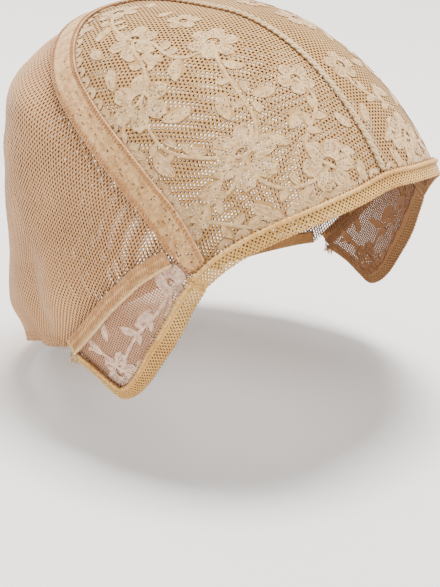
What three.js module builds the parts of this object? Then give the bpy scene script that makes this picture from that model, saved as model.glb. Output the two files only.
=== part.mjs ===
// Wig cap: a crown of flower lace in two halves, a stretch net back, a tape across the head,
// a knitted hem on the forehead and a small lace tab in front of each ear.
// Millimetres, +Z up, the wearer's face towards -Y and the wearer's right towards -X.
// The origin is the inside of the crown, where the cap sits on the top of the head.
import * as THREE from "three";

// The head that the cap is stretched over, measured from its middle, level with its widest place
const HALF_WIDTH = 76;
const FRONT_LENGTH = 94;
const BACK_LENGTH = 97;
const CROWN_RISE = 103;
const NAPE_DROP = 152;

// Widths of the bands along the surface
const HEM_WIDTH = 7;
const BAND_WIDTH = 11.2;
const TAPE_WIDTH = 6.6;
const BINDING_WIDTH = 8.4;
const NAPE_HEM_WIDTH = 5;
const SEAM_WIDTH = 3;

// Thicknesses, and the room left between pieces that are sewn together
const LACE_WALL = 1;
const NET_WALL = 1;
const TAPE_WALL = 1.1;
const HEM_WALL = 1.2;
const HEM_ROLL = 2.1;
const SEAM_CORD = 1.5;
const CLEARANCE = 0.35;

// Shape of the head form: 2 is an ellipse and more is squarer
const FRONT_TAPER = 0.16;
const FOREHEAD_SQUARENESS = 2.8;
const PLAN_SQUARENESS = 2.3;
const FRONT_SQUARENESS = 1.88;
const BACK_SQUARENESS = 3.1;
const LOW_SQUARENESS = 2.4;
const NORMAL_STEP = 0.5;
const LINE_MARKS = 240;
const END_STEP = 0.1;

// Right side of the cap: degrees round the head from the forehead, and the way down from the
// crown as a share of the crown's rise
const HEM_EDGE = table(["around", "down"], [
  [0, 0.515],
  [12, 0.53],
  [24, 0.56],
  [33, 0.6],
  [42, 0.66],
  [48, 0.72],
  [52, 0.775],
]);
const BAND_MIDDLE = table(["around", "down"], [
  [180, 0.08],
  [158, 0.085],
  [136, 0.13],
  [120, 0.2],
  [104, 0.28],
  [91, 0.355],
  [81, 0.42],
  [72, 0.495],
  [65, 0.565],
  [60, 0.64],
  [57, 0.7],
]);
const TAPE_MIDDLE = table(["around", "down"], [
  [60.5, 0.675],
  [67, 0.73],
  [72, 0.782],
  [77, 0.85],
  [82, 0.92],
  [87, 1],
  [92, 1.075],
  [97, 1.145],
]);
// The tab's width of binding is a share of the binding's full width
const TAB_EDGE = table(["around", "down", "width"], [
  [52.3, 0.785, 0.85],
  [55.5, 0.865, 0.95],
  [59, 0.97, 1],
  [64, 1.085, 0.95],
  [69, 1.19, 0.8],
  [73.5, 1.25, 0.66],
  [77.5, 1.272, 0.62],
  [82, 1.25, 0.5],
  [88, 1.21, 0.42],
  [97.7, 1.17, 0.42],
]);
const NAPE_EDGE = table(["around", "down"], [
  [180, 1.52],
  [164, 1.5],
  [150, 1.43],
  [138, 1.36],
  [128, 1.3],
  [118, 1.245],
  [109, 1.2],
  [98.4, 1.152],
]);
// The seam on top of the crown, over the front and then behind the top of the head
const SEAM_MIDDLE = table(["around", "down"], [
  [0, 0.515],
  [0, 0.38],
  [0, 0.25],
  [0, 0.14],
  [0, 0.06],
  [0, 0.015],
  [180, 0],
  [180, 0.01],
  [180, 0.035],
  [180, 0.08],
]);

// How far the stretched net stands off the head at the back, as shares of the back's length
const SLACK = table(["down", "out"], [
  [0.12, 0],
  [0.2, 0.012],
  [0.34, 0.035],
  [0.5, 0.002],
  [0.67, -0.02],
  [0.97, -0.034],
  [1.17, -0.02],
  [1.27, -0.02],
  [1.42, 0],
  [1.6, 0.01],
]);
const SLACK_FROM = 100;
const SLACK_FULL = 132;
const SLACK_BEHIND_BAND = 18;
const SLACK_BEHIND_TAPE = 12;
const TUCK_IN = 0.07;
const TUCK_REACH = 0.2;

// Bumps and folds of the net: a line between two places, with its height and half-width
// as shares of the head's half-width
const FOLDS = table(["around", "down", "toAround", "toDown", "out", "wide"], [
  [103, 0.93, 107, 0.99, 0.035, 0.17],
  [110, 1.1, 117, 0.93, -0.026, 0.12],
  [117, 1.15, 127, 1.05, 0.014, 0.11],
  [126, 1.22, 137, 1.14, -0.014, 0.11],
  [97, 0.72, 113, 0.64, -0.014, 0.15],
]);

// Sections of the bands across their width: shares of the width, and the height there
const BAND_SECTION = table(["across", "high"], [
  [-0.5, TAPE_WALL],
  [-0.2, TAPE_WALL],
  [0.1, TAPE_WALL],
  [0.3, TAPE_WALL],
  [0.5, TAPE_WALL],
]);
const HEM_SECTION = table(["across", "high"], [
  [0, HEM_WALL],
  [0.6, HEM_WALL],
  [0.72, HEM_ROLL],
  [0.92, HEM_ROLL],
  [1, HEM_WALL],
]);
const SEAM_SECTION = table(["across", "high"], [
  [-0.5, SEAM_CORD / 2],
  [0, SEAM_CORD],
  [0.5, SEAM_CORD / 2],
]);
const TAPE_SECTION = table(["across", "high"], [
  [-0.5, TAPE_WALL],
  [0.22, TAPE_WALL],
  [0.32, HEM_ROLL],
  [0.5, HEM_ROLL],
]);
const BINDING_SECTION = table(["across", "high"], [
  [-1, HEM_WALL],
  [-0.9, HEM_ROLL],
  [-0.7, HEM_ROLL],
  [-0.6, HEM_WALL],
  [0, HEM_WALL],
]);
const NAPE_HEM_SECTION = table(["across", "high"], [
  [-1, TAPE_WALL],
  [-0.5, TAPE_WALL],
  [0, TAPE_WALL],
]);

// How many faces each piece has along it, and each panel across it
const FACES = {
  band: 60,
  hem: 44,
  seam: 26,
  tape: 16,
  binding: 30,
  napeHem: 40,
  crownAlong: 22,
  crownAcross: 13,
  tabAlong: 8,
  tabAcross: 11,
  netUnderTape: 9,
  netRound: 34,
  netDown: 17,
};

const FLOWER_LACE = new THREE.MeshStandardMaterial({ color: 0xcdb592, roughness: 0.85, metalness: 0 });
const TAB_LACE = new THREE.MeshStandardMaterial({ color: 0xd8b9a0, roughness: 0.85, metalness: 0 });
const STRETCH_NET = new THREE.MeshStandardMaterial({ color: 0xdcb48c, roughness: 0.8, metalness: 0 });
const SEWN_TAPE = new THREE.MeshStandardMaterial({ color: 0xe3bd90, roughness: 0.8, metalness: 0 });
const KNITTED_HEM = new THREE.MeshStandardMaterial({ color: 0xe6bc76, roughness: 0.75, metalness: 0 });
const SEAM_THREAD = new THREE.MeshStandardMaterial({ color: 0xe4d2b4, roughness: 0.8, metalness: 0 });

const RIGHT = -1;
const LEFT = 1;

function table(names, rows) {
  return rows.map((row) => Object.fromEntries(names.map((name, i) => [name, row[i]])));
}

function mix(a, b, share) {
  return a + (b - a) * share;
}

function smooth(from, to, value) {
  return THREE.MathUtils.smoothstep(value, from, to);
}

// Value of a table's column where its key column has the given value
function lookUp(rows, key, column, value) {
  const next = rows.findIndex((row) => row[key] >= value);
  if (next === 0) return rows[0][column];
  if (next < 0) return rows[rows.length - 1][column];
  const [a, b] = [rows[next - 1], rows[next]];
  const share = (value - a[key]) / (b[key] - a[key]);
  return mix(a[column], b[column], smooth(0, 1, share));
}

// Shape of the form towards one side: how wide, long and square it is there
function formTowards(ahead, above) {
  return {
    wide: HALF_WIDTH * (1 - FRONT_TAPER * Math.max(0, ahead) ** 2),
    long: ahead > 0 ? FRONT_LENGTH : BACK_LENGTH,
    round: mix(PLAN_SQUARENESS, FOREHEAD_SQUARENESS, Math.max(0, ahead)),
    tall: above ? CROWN_RISE : NAPE_DROP,
    square: above ? mix(FRONT_SQUARENESS, BACK_SQUARENESS, (1 - ahead) / 2) : LOW_SQUARENESS,
  };
}

// 1 on the head form, less inside it and more outside
function depth(point) {
  const [x, y, z] = [point.x, point.y, point.z + CROWN_RISE];
  const ahead = -y / Math.max(Math.hypot(x, y), Number.EPSILON);
  const form = formTowards(ahead, z > 0);
  const plan = (Math.abs(x / form.wide) ** form.round + Math.abs(y / form.long) ** form.round) ** (1 / form.round);
  return (plan ** form.square + Math.abs(z / form.tall) ** form.square) ** (1 / form.square);
}

function outward(point) {
  const slope = ["x", "y", "z"].map((axis) => {
    const step = new THREE.Vector3();
    step[axis] = NORMAL_STEP;
    return depth(point.clone().add(step)) - depth(point.clone().sub(step));
  });
  return new THREE.Vector3(...slope).normalize();
}

// The place on the form that a point lies over, seen from the middle of the head
function ontoForm(point) {
  const middle = new THREE.Vector3(0, 0, -CROWN_RISE);
  return point.clone().sub(middle).divideScalar(depth(point)).add(middle);
}

function place(side, around, down) {
  const angle = THREE.MathUtils.degToRad(around);
  const [across, ahead] = [Math.sin(angle), Math.cos(angle)];
  const up = (1 - down) * CROWN_RISE;
  const form = formTowards(ahead, up > 0);
  const level = (1 - Math.abs(up / form.tall) ** form.square) ** (1 / form.square);
  const plan = Math.abs(across / form.wide) ** form.round + Math.abs(ahead / form.long) ** form.round;
  const radius = level / plan ** (1 / form.round);
  return new THREE.Vector3(side * radius * across, -radius * ahead, -down * CROWN_RISE);
}

// None under the band and the tapes, and all of it where the net is clear of them
function freeOfSeams(point) {
  const onRight = new THREE.Vector3(-Math.abs(point.x), point.y, point.z);
  const behindBand = bandLine.near(onRight).aside - BAND_WIDTH / 2;
  const behindTape = -tapeLine.near(onRight).aside - TAPE_WIDTH / 2;
  return smooth(0, SLACK_BEHIND_BAND, behindBand) * smooth(0, SLACK_BEHIND_TAPE, behindTape);
}

// Height of the stretched net over the form at a place on it
function slack(point) {
  const around = THREE.MathUtils.radToDeg(Math.atan2(Math.abs(point.x), -point.y));
  const down = -point.z / CROWN_RISE;
  const loose = smooth(SLACK_FROM, SLACK_FULL, around);
  const aboveEdge = -napeLine.near(point).aside / BACK_LENGTH;
  const tuck = (1 - smooth(0, TUCK_REACH, aboveEdge)) * TUCK_IN;
  let height = (lookUp(SLACK, "down", "out", down) - tuck) * loose * BACK_LENGTH;
  for (const fold of FOLDS) {
    const side = Math.sign(point.x) || 1;
    const start = place(side, fold.around, fold.down);
    const end = place(side, fold.toAround, fold.toDown);
    const near = new THREE.Line3(start, end).closestPointToPoint(point, true, new THREE.Vector3());
    const away = near.distanceTo(point) / (fold.wide * HALF_WIDTH);
    height += fold.out * HALF_WIDTH * Math.exp(-(away ** 2));
  }
  return height * freeOfSeams(point);
}

// A line on the form through the rows of a table, from the wearer's right to the left
class SeamLine {
  constructor(points, rows = []) {
    this.curve = new THREE.CatmullRomCurve3(points, false, "centripetal");
    this.curve.arcLengthDivisions = 400;
    this.length = this.curve.getLength();
    this.rows = rows;
    this.marks = steps(LINE_MARKS).map((share) => {
      const on = ontoForm(this.curve.getPointAt(share));
      const way = this.curve.getTangentAt(share);
      const left = new THREE.Vector3().crossVectors(outward(on), way).normalize();
      return { along: share * this.length, on, way, left };
    });
  }

  // How far along the line and how far to its left a point lies
  near(point) {
    const gap = (mark) => mark.on.distanceToSquared(point);
    const mark = this.marks.reduce((best, next) => (gap(next) < gap(best) ? next : best));
    const off = point.clone().sub(mark.on);
    return { along: mark.along + off.dot(mark.way), aside: off.dot(mark.left) };
  }

  // A column of the line's table at a length along it
  column(name, along) {
    const share = THREE.MathUtils.clamp(along / this.length, 0, 1);
    const row = this.curve.getUtoTmapping(share) * (this.rows.length - 1);
    const before = Math.min(Math.floor(row), this.rows.length - 2);
    return mix(this.rows[before][name], this.rows[before + 1][name], row - before);
  }

  // The place at a length along the line and a distance to the left of the way it runs
  at(along, aside = 0) {
    const share = THREE.MathUtils.clamp(along / this.length, 0, 1);
    const on = ontoForm(this.curve.getPointAt(share));
    const way = this.curve.getTangentAt(share);
    const past = along - share * this.length;
    const left = new THREE.Vector3().crossVectors(outward(on), way).normalize();
    return ontoForm(on.addScaledVector(way, past).addScaledVector(left, aside));
  }
}

function sideLine(side, rows) {
  return new SeamLine(rows.map((row) => place(side, row.around, row.down)), rows);
}

// A line over both sides, from a table whose first row is on the middle of the cap
function wholeLine(rows) {
  const right = rows.map((row) => place(RIGHT, row.around, row.down)).reverse();
  const left = rows.slice(1).map((row) => place(LEFT, row.around, row.down));
  return new SeamLine([...right, ...left]);
}

function steps(count, from = 0, to = 1) {
  return Array.from({ length: count + 1 }, (_, i) => mix(from, to, i / count));
}

// A closed wall over a grid of places, each with the heights of its inner and outer face
function wall(name, material, grid) {
  const rows = grid.length;
  const columns = grid[0].length;
  const faces = ["outer", "inner"].map((face) =>
    grid.flat().map((spot) => spot.on.clone().addScaledVector(spot.out, spot[face])),
  );
  const corners = faces.flat();
  const outer = (row, column) => row * columns + column;
  const inner = (row, column) => rows * columns + outer(row, column);
  const index = [];
  const square = (a, b, c, d) => {
    const shorter = corners[a].distanceTo(corners[c]) < corners[b].distanceTo(corners[d]);
    index.push(...(shorter ? [a, b, c, a, c, d] : [b, c, d, b, d, a]));
  };
  for (let row = 0; row < rows - 1; row += 1) {
    for (let column = 0; column < columns - 1; column += 1) {
      square(outer(row, column), outer(row, column + 1), outer(row + 1, column + 1), outer(row + 1, column));
      square(inner(row, column), inner(row + 1, column), inner(row + 1, column + 1), inner(row, column + 1));
    }
    const last = columns - 1;
    square(outer(row, 0), outer(row + 1, 0), inner(row + 1, 0), inner(row, 0));
    square(outer(row + 1, last), outer(row, last), inner(row, last), inner(row + 1, last));
  }
  for (let column = 0; column < columns - 1; column += 1) {
    const last = rows - 1;
    square(outer(0, column + 1), outer(0, column), inner(0, column), inner(0, column + 1));
    square(outer(last, column), outer(last, column + 1), inner(last, column + 1), inner(last, column));
  }
  const geometry = new THREE.BufferGeometry();
  geometry.setAttribute("position", new THREE.Float32BufferAttribute(corners.flatMap((p) => p.toArray()), 3));
  geometry.setIndex(volume(corners, index) > 0 ? index : index.reverse());
  geometry.computeVertexNormals();
  const mesh = new THREE.Mesh(geometry, material);
  mesh.name = name;
  return mesh;
}

function volume(corners, index) {
  let six = 0;
  for (let i = 0; i < index.length; i += 3) {
    const [a, b, c] = [corners[index[i]], corners[index[i + 1]], corners[index[i + 2]]];
    six += a.dot(new THREE.Vector3().crossVectors(b, c));
  }
  return six / 6;
}

// A piece of cloth between four edges, laid on the form
function panel(name, material, edges, counts, thickness, rise = () => 0) {
  const { bottom, top, start, end } = edges;
  const grid = counts.along.map((u) =>
    counts.across.map((v) => {
      const over = bottom(u).multiplyScalar(1 - v).addScaledVector(top(u), v);
      over.addScaledVector(start(v), 1 - u).addScaledVector(end(v), u);
      over.addScaledVector(bottom(0), -(1 - u) * (1 - v)).addScaledVector(bottom(1), -u * (1 - v));
      over.addScaledVector(top(0), -(1 - u) * v).addScaledVector(top(1), -u * v);
      const on = ontoForm(over);
      return { on, out: outward(on), inner: rise(on), outer: rise(on) + thickness };
    }),
  );
  return wall(name, material, grid);
}

// A band along a line: its section runs across it from one edge to the other
function band(name, material, line, shape, rise = () => 0) {
  const { from, to, count, width, section, base } = shape;
  const grid = steps(count).map((u) =>
    section.map((rib) => {
      const along = mix(from(rib.across), to(rib.across), u);
      const on = line.at(along, rib.across * width(along));
      const lift = base + rise(on);
      return { on, out: outward(on), inner: lift, outer: lift + rib.high };
    }),
  );
  return wall(name, material, grid);
}

const OVER_LACE = LACE_WALL + CLEARANCE;
// How far a panel's edge lies from the middle of the band that is sewn over it
const UNDER_BAND = 0.6;
// How far a panel's edge lies inside the free edge of the hem that is sewn over it
const UNDER_HEM = 2;
// How far the tab's lace reaches under its binding, and on under the band's end
const LACE_TURN = 1.5;
const LACE_UNDER_BAND = 2.5;

const hemLine = wholeLine(HEM_EDGE);
const bandLine = wholeLine(BAND_MIDDLE);
const napeLine = wholeLine(NAPE_EDGE);
const seamLine = sideLine(RIGHT, SEAM_MIDDLE);
const tapeLine = sideLine(RIGHT, TAPE_MIDDLE);
const tabLine = sideLine(RIGHT, TAB_EDGE);

// The band's end slopes down from the tape to the hem: further along by a share of its width
const BAND_SLOPE = table(["across", "on"], [
  [-0.5, 1.6],
  [-0.2, 1.4],
  [0.1, 1],
  [0.3, 0.45],
  [0.5, 0],
]);
const HEM_MITRE = 2.8;
const TAPE_END = 0.4;
// Where the tab's lowest point lies along its edge, and the tapes' shares of the net's edge
const TAB_APEX = 0.62;
const TAPE_SHARE = 0.17;
const JOIN = 0.002;
const FINER_AT_NAPE = 1.5;

// The first length along a line, or the last when stepping back, that is clear of a neighbour
function clearFrom(start, way, isClear) {
  let along = start;
  while (!isClear(along)) along += way * END_STEP;
  return along;
}

const crossing = bandLine.near(tapeLine.at(0)).along;

function bandStop(across) {
  const on = lookUp(BAND_SLOPE, "across", "on", across) * BAND_WIDTH;
  const slope = crossing + TAPE_WIDTH / 2 - on;
  return clearFrom(slope, 1, (along) => {
    const point = bandLine.at(along, across * BAND_WIDTH);
    return hemLine.near(point).aside > HEM_WIDTH + CLEARANCE;
  });
}

function tapeStart(across) {
  return clearFrom(0, 1, (along) => {
    const point = tapeLine.at(along, across * TAPE_WIDTH);
    return bandLine.near(point).aside > BAND_WIDTH / 2 + CLEARANCE;
  });
}

function bindingWidth(along) {
  return BINDING_WIDTH * tabLine.column("width", along);
}

function bindingStart(across) {
  return clearFrom(0, 1, (along) => {
    const { along: before, aside } = hemLine.near(tabLine.at(along, across * bindingWidth(along)));
    return before < -(aside / HEM_WIDTH) * HEM_MITRE - CLEARANCE;
  });
}

function bindingEnd(across) {
  return clearFrom(tabLine.length, -1, (along) => {
    const point = tabLine.at(along, across * bindingWidth(along));
    return tapeLine.near(point).aside > TAPE_WIDTH / 2 + CLEARANCE;
  });
}

function crossBand() {
  return band("cross_band", SEWN_TAPE, bandLine, {
    from: bandStop,
    to: (across) => bandLine.length - bandStop(across),
    count: FACES.band,
    width: () => BAND_WIDTH,
    section: BAND_SECTION,
    base: OVER_LACE,
  });
}

function frontHem() {
  return band("front_hem", KNITTED_HEM, hemLine, {
    from: (across) => -across * HEM_MITRE,
    to: (across) => hemLine.length + across * HEM_MITRE,
    count: FACES.hem,
    width: () => HEM_WIDTH,
    section: HEM_SECTION,
    base: OVER_LACE,
  });
}

function crownSeam() {
  return band("crown_seam", SEAM_THREAD, seamLine, {
    from: () => HEM_WIDTH + CLEARANCE,
    to: () => seamLine.length - BAND_WIDTH / 2 - CLEARANCE,
    count: FACES.seam,
    width: () => SEAM_WIDTH,
    section: SEAM_SECTION,
    base: OVER_LACE,
  });
}

function crownLace() {
  const hemMiddle = hemLine.length / 2 - UNDER_BAND;
  const bandMiddle = bandLine.length / 2 - UNDER_BAND;
  const hemCorner = (u) => mix(hemMiddle, HEM_WIDTH - UNDER_BAND, u);
  const bandCorner = (u) => mix(bandMiddle, crossing + LACE_UNDER_BAND, u);
  const edges = {
    bottom: (u) => hemLine.at(hemCorner(u), UNDER_HEM),
    top: (u) => bandLine.at(bandCorner(u), -UNDER_BAND),
    start: (v) => seamLine.at(mix(UNDER_HEM, seamLine.length - UNDER_BAND, v), UNDER_BAND),
  };
  edges.end = (v) => edges.bottom(1).lerp(edges.top(1), v);
  const counts = { along: steps(FACES.crownAlong), across: steps(FACES.crownAcross) };
  return panel("crown_lace_right", FLOWER_LACE, edges, counts, LACE_WALL);
}

function tabTape() {
  return band("tab_tape_right", SEWN_TAPE, tapeLine, {
    from: tapeStart,
    to: () => tapeLine.length - TAPE_END,
    count: FACES.tape,
    width: () => TAPE_WIDTH,
    section: TAPE_SECTION,
    base: OVER_LACE,
  });
}

function tabBinding() {
  return band("tab_binding_right", KNITTED_HEM, tabLine, {
    from: bindingStart,
    to: bindingEnd,
    count: FACES.binding,
    width: bindingWidth,
    section: BINDING_SECTION,
    base: OVER_LACE,
  });
}

function tabLace() {
  const apex = tabLine.length * TAB_APEX;
  const inside = (along) => tabLine.at(along, LACE_TURN - bindingWidth(along));
  const edges = {
    start: (v) => tapeLine.at(mix(-LACE_UNDER_BAND, tapeLine.length - TAPE_END, v), UNDER_BAND),
    end: (v) => inside(mix(-UNDER_BAND, apex, v)),
    top: (u) => inside(mix(tabLine.length - UNDER_HEM, apex, u)),
  };
  edges.bottom = (u) => edges.start(0).lerp(edges.end(0), u);
  const counts = { along: steps(FACES.tabAlong), across: steps(FACES.tabAcross) };
  return panel("tab_lace_right", TAB_LACE, edges, counts, LACE_WALL);
}

function napeHem() {
  return band("nape_hem", SEWN_TAPE, napeLine, {
    from: () => UNDER_HEM,
    to: () => napeLine.length - UNDER_HEM,
    count: FACES.napeHem,
    width: () => NAPE_HEM_WIDTH,
    section: NAPE_HEM_SECTION,
    base: -TAPE_WALL - CLEARANCE,
  }, slack);
}

// The net's lower edge: under the right tape, round the nape, and under the left tape
function netEdge(u) {
  const tape = (share) => tapeLine.at(mix(UNDER_HEM, tapeLine.length - TAPE_END, share), -UNDER_BAND);
  if (u < TAPE_SHARE) return tape(u / TAPE_SHARE);
  if (u > 1 - TAPE_SHARE) return tape((1 - u) / TAPE_SHARE).multiply(new THREE.Vector3(-1, 1, 1));
  const round = (u - TAPE_SHARE) / (1 - 2 * TAPE_SHARE);
  return napeLine.at(mix(UNDER_HEM, napeLine.length - UNDER_HEM, round), -UNDER_HEM);
}

function backNet() {
  const corner = crossing + UNDER_HEM;
  const edges = {
    bottom: netEdge,
    top: (u) => bandLine.at(mix(corner, bandLine.length - corner, u), UNDER_BAND),
  };
  edges.start = (v) => edges.bottom(0).lerp(edges.top(0), v);
  edges.end = (v) => edges.bottom(1).lerp(edges.top(1), v);
  const along = [
    ...steps(FACES.netUnderTape, 0, TAPE_SHARE),
    ...steps(FACES.netRound, TAPE_SHARE + JOIN, 1 - TAPE_SHARE - JOIN),
    ...steps(FACES.netUnderTape, 1 - TAPE_SHARE, 1),
  ];
  const across = steps(FACES.netDown).map((share) => share ** FINER_AT_NAPE);
  return panel("back_net", STRETCH_NET, edges, { along, across }, NET_WALL, slack);
}

// The same piece on the wearer's left
function onLeft(mesh) {
  const geometry = mesh.geometry.clone().scale(-1, 1, 1);
  geometry.setIndex([...geometry.index.array].reverse());
  const copy = new THREE.Mesh(geometry, mesh.material);
  copy.name = mesh.name.replace("right", "left");
  return copy;
}

const cap = new THREE.Group();
cap.add(crossBand(), frontHem(), crownSeam(), backNet(), napeHem());
for (const piece of [crownLace(), tabTape(), tabBinding(), tabLace()]) {
  cap.add(piece, onLeft(piece));
}
export default cap;
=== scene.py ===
"""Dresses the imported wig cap: open nets, lace flowers, sewn tapes, knitted hems and stitching."""

import math

import bmesh
import bpy
import numpy as np
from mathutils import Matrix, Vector
from mathutils.bvhtree import BVHTree


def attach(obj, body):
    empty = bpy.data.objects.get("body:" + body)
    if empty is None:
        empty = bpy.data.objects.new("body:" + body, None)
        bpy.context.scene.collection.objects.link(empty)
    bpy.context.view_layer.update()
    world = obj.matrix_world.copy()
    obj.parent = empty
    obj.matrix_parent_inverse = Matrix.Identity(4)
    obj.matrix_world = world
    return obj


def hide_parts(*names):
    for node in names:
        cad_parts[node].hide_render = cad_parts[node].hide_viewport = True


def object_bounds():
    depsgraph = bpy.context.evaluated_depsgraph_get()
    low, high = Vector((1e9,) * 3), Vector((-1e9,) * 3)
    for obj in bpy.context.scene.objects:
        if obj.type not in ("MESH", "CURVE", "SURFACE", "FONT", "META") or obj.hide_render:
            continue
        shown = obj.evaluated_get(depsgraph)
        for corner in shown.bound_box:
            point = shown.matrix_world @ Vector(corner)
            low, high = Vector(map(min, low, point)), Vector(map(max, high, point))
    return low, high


bl_info = {
    "name": "Wig cap dressing",
    "version": (1, 0, 0),
    "blender": (4, 5, 0),
    "location": "View3D > Sidebar > Wig cap",
    "description": "Builds the nets, lace, tapes and hems of a wig cap over its packed solids",
    "category": "Object",
}

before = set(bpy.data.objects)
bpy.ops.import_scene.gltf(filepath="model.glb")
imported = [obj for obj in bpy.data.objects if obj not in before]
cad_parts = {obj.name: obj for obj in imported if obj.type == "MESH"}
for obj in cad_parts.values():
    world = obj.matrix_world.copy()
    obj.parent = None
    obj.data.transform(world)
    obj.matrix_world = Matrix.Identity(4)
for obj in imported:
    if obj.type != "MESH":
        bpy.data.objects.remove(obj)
CAD_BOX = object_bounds()

# The head form and the cap's own sizes, in millimetres
MM = 0.001
HALF_WIDTH = 76
FRONT_LENGTH = 94
BACK_LENGTH = 97
CROWN_RISE = 103
NAPE_DROP = 152
HEM_WIDTH = 7
BAND_WIDTH = 11.2
TAPE_WIDTH = 6.6
BINDING_WIDTH = 8.4
NAPE_HEM_WIDTH = 5
FRONT_TAPER = 0.16
FOREHEAD_SQUARENESS = 2.8
PLAN_SQUARENESS = 2.3
FRONT_SQUARENESS = 1.88
BACK_SQUARENESS = 3.1
LOW_SQUARENESS = 2.4
NORMAL_STEP = 0.5
LINE_MARKS = 240
SPAN_STEPS = 60
NEAR_BATCH = 4000
END_STEP = 0.1
CLEARANCE = 0.35
OVER_LACE = 1.35
UNDER_HEM = 2
HEM_MITRE = 2.8
TAPE_END = 0.4
MIDDLE = np.array([0.0, 0.0, -CROWN_RISE])
TINY = 1e-9
KNOT_GAP = 1e-4
LOOK_FROM = 14

# The nets' ground, and how the back net is laid and cut
GROUND_HEIGHT = 0.95
NET_ROUND = 88
NET_SLANT = 0.32
NET_NARROWING = 0.6
NET_TURN = 2.3
NET_TILT = 1.35
NET_EDGE = -0.3
NET_OVERLAP = 6
NET_RIPPLE = 0.1
NET_RIPPLE_PITCH = 1.1
UNEVEN_PITCH = 7

# Knits, cords, tapes and stitches
KNIT_HEIGHT = OVER_LACE + 0.95
KNIT_WALL = 0.85
KNIT_EDGE = 4.7
SEWN_END = 1.9
LOOP_UNEVEN = 0.1
EDGE_BEAD = (1.55, 0.62, 0.9)
EDGE_HEIGHT = OVER_LACE + 0.6
EDGE_STEP = 0.95
ROLL = {"base": OVER_LACE, "high": 2.05, "turns": 2.3}
TWIST = 0.2
BAND_WEAVE = 0.8
BAND_HEIGHT = OVER_LACE + 0.9
BAND_RIPPLE = 0.13
BAND_STITCH_HEIGHT = OVER_LACE + 1.08
NEEDLE_ROWS = (0.4, 1.9, 1.2)
NEEDLE_SHARES = (0.13, 0.015)
TAPE_WEAVE = 0.825
TAPE_HEIGHT = OVER_LACE + 0.85
TAPE_STEP = 1.15
NAPE_WALL = 1.05
SEAM_BASE = 0.75
SEAM_HEIGHT = 1.8
TUFT_THREADS = 26

# Finishes: painted shade colour codes for the threads' walls and inner sides, and what every thread shares
SHADE = "5A341C"
TAN_PAINTED_SHADE = "A0714A"
WARM_PAINTED_SHADE = "B48452"
NET_INSIDE_PAINTED_SHADE = "8C5E3A"
ROUGHNESS = 0.75
BUMP_DEPTH = 0.0003
SHEEN = {"Sheen Weight": 0.25, "Sheen Roughness": 0.5, "Specular IOR Level": 0.25}
LOOKS = {}

# The camera: degrees round and up, and metres away from and past the middle of the head form
CAMERA_TURN = -48
CAMERA_RISE = 22
CAMERA_AWAY = 0.67
AIM_BELOW = 0.0129
AIM_LEFT = 0.00204
LENS = 134.3
FLOOR_GAP = 0.002
FLOOR_REACH = 6

# Stitches of the cross band: aside, gap at the ends, step, lift, size and slant in degrees
BAND_STITCHES = [
    (-5.15, 1, 1.5, 0, (1.3, 0.5, 0.46), 16), (-4.05, 1, 1.5, 0, (1.2, 0.42, 0.4), -16),
    (5.15, 1, 1.5, 0, (1.3, 0.5, 0.46), 16), (4.0, 1, 1.5, 0, (1.2, 0.42, 0.4), -16),
    (-4.6, 1.4, 1.45, -0.03, (1.1, 0.32, 0.32), 74), (4.55, 1.4, 1.45, -0.03, (1.1, 0.32, 0.32), 74),
]
# Ribs of the tab tapes: aside, where their start is read, gaps at both ends, lift, size and slant
TAPE_RIBS = [
    (-1.9, -1.9 / TAPE_WIDTH, 1.2, 1, 0.05, (2.5, 0.42, 0.36), 52),
    (0.4, 0.4 / TAPE_WIDTH, 1.2, 1, 0.05, (2.9, 0.42, 0.36), 52),
    (-3.0, -0.45, 0.8, 0.6, 0, (1.2, 0.3, 0.3), 8),
]

# Seam lines: degrees round from the front, heights down from the crown, and the binding's share of width
HEM_EDGE = [(0, 0.515), (12, 0.53), (24, 0.56), (33, 0.6), (42, 0.66), (48, 0.72), (52, 0.775)]
BAND_MIDDLE = [
    (180, 0.08), (158, 0.085), (136, 0.13), (120, 0.2), (104, 0.28), (91, 0.355),
    (81, 0.42), (72, 0.495), (65, 0.565), (60, 0.64), (57, 0.7),
]
TAPE_MIDDLE = [
    (60.5, 0.675), (67, 0.73), (72, 0.782), (77, 0.85), (82, 0.92), (87, 1), (92, 1.075), (97, 1.145),
]
TAB_EDGE = [
    (52.3, 0.785, 0.85), (55.5, 0.865, 0.95), (59, 0.97, 1), (64, 1.085, 0.95), (69, 1.19, 0.8),
    (73.5, 1.25, 0.66), (77.5, 1.272, 0.62), (82, 1.25, 0.5), (88, 1.21, 0.42), (97.7, 1.17, 0.42),
]
NAPE_EDGE = [
    (180, 1.52), (164, 1.5), (150, 1.43), (138, 1.36), (128, 1.3), (118, 1.245), (109, 1.2), (98.4, 1.152),
]
SEAM_MIDDLE = [
    (0, 0.515), (0, 0.38), (0, 0.25), (0, 0.14), (0, 0.06), (0, 0.015), (180, 0), (180, 0.01),
    (180, 0.035), (180, 0.08),
]
SLACK = [
    (0.12, 0), (0.2, 0.012), (0.34, 0.035), (0.5, 0.002), (0.67, -0.02), (0.97, -0.034),
    (1.17, -0.02), (1.27, -0.02), (1.42, 0), (1.6, 0.01),
]
SLACK_FROM = 100
SLACK_FULL = 132
SLACK_BEHIND_BAND = 18
SLACK_BEHIND_TAPE = 12
TUCK_IN = 0.07
TUCK_REACH = 0.2
FOLDS = [
    (103, 0.93, 107, 0.99, 0.035, 0.17),
    (110, 1.1, 117, 0.93, -0.026, 0.12),
    (117, 1.15, 127, 1.05, 0.014, 0.11),
    (126, 1.22, 137, 1.14, -0.014, 0.11),
    (97, 0.72, 113, 0.64, -0.014, 0.15),
]
BAND_SLOPE = [(-0.5, 1.6), (-0.2, 1.4), (0.1, 1), (0.3, 0.45), (0.5, 0)]

RIGHT = -1
LEFT = 1


def mix(a, b, share):
    return a + (b - a) * share


def smooth(low, high, value):
    share = np.clip((value - low) / (high - low), 0, 1)
    return share * share * (3 - 2 * share)


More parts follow.
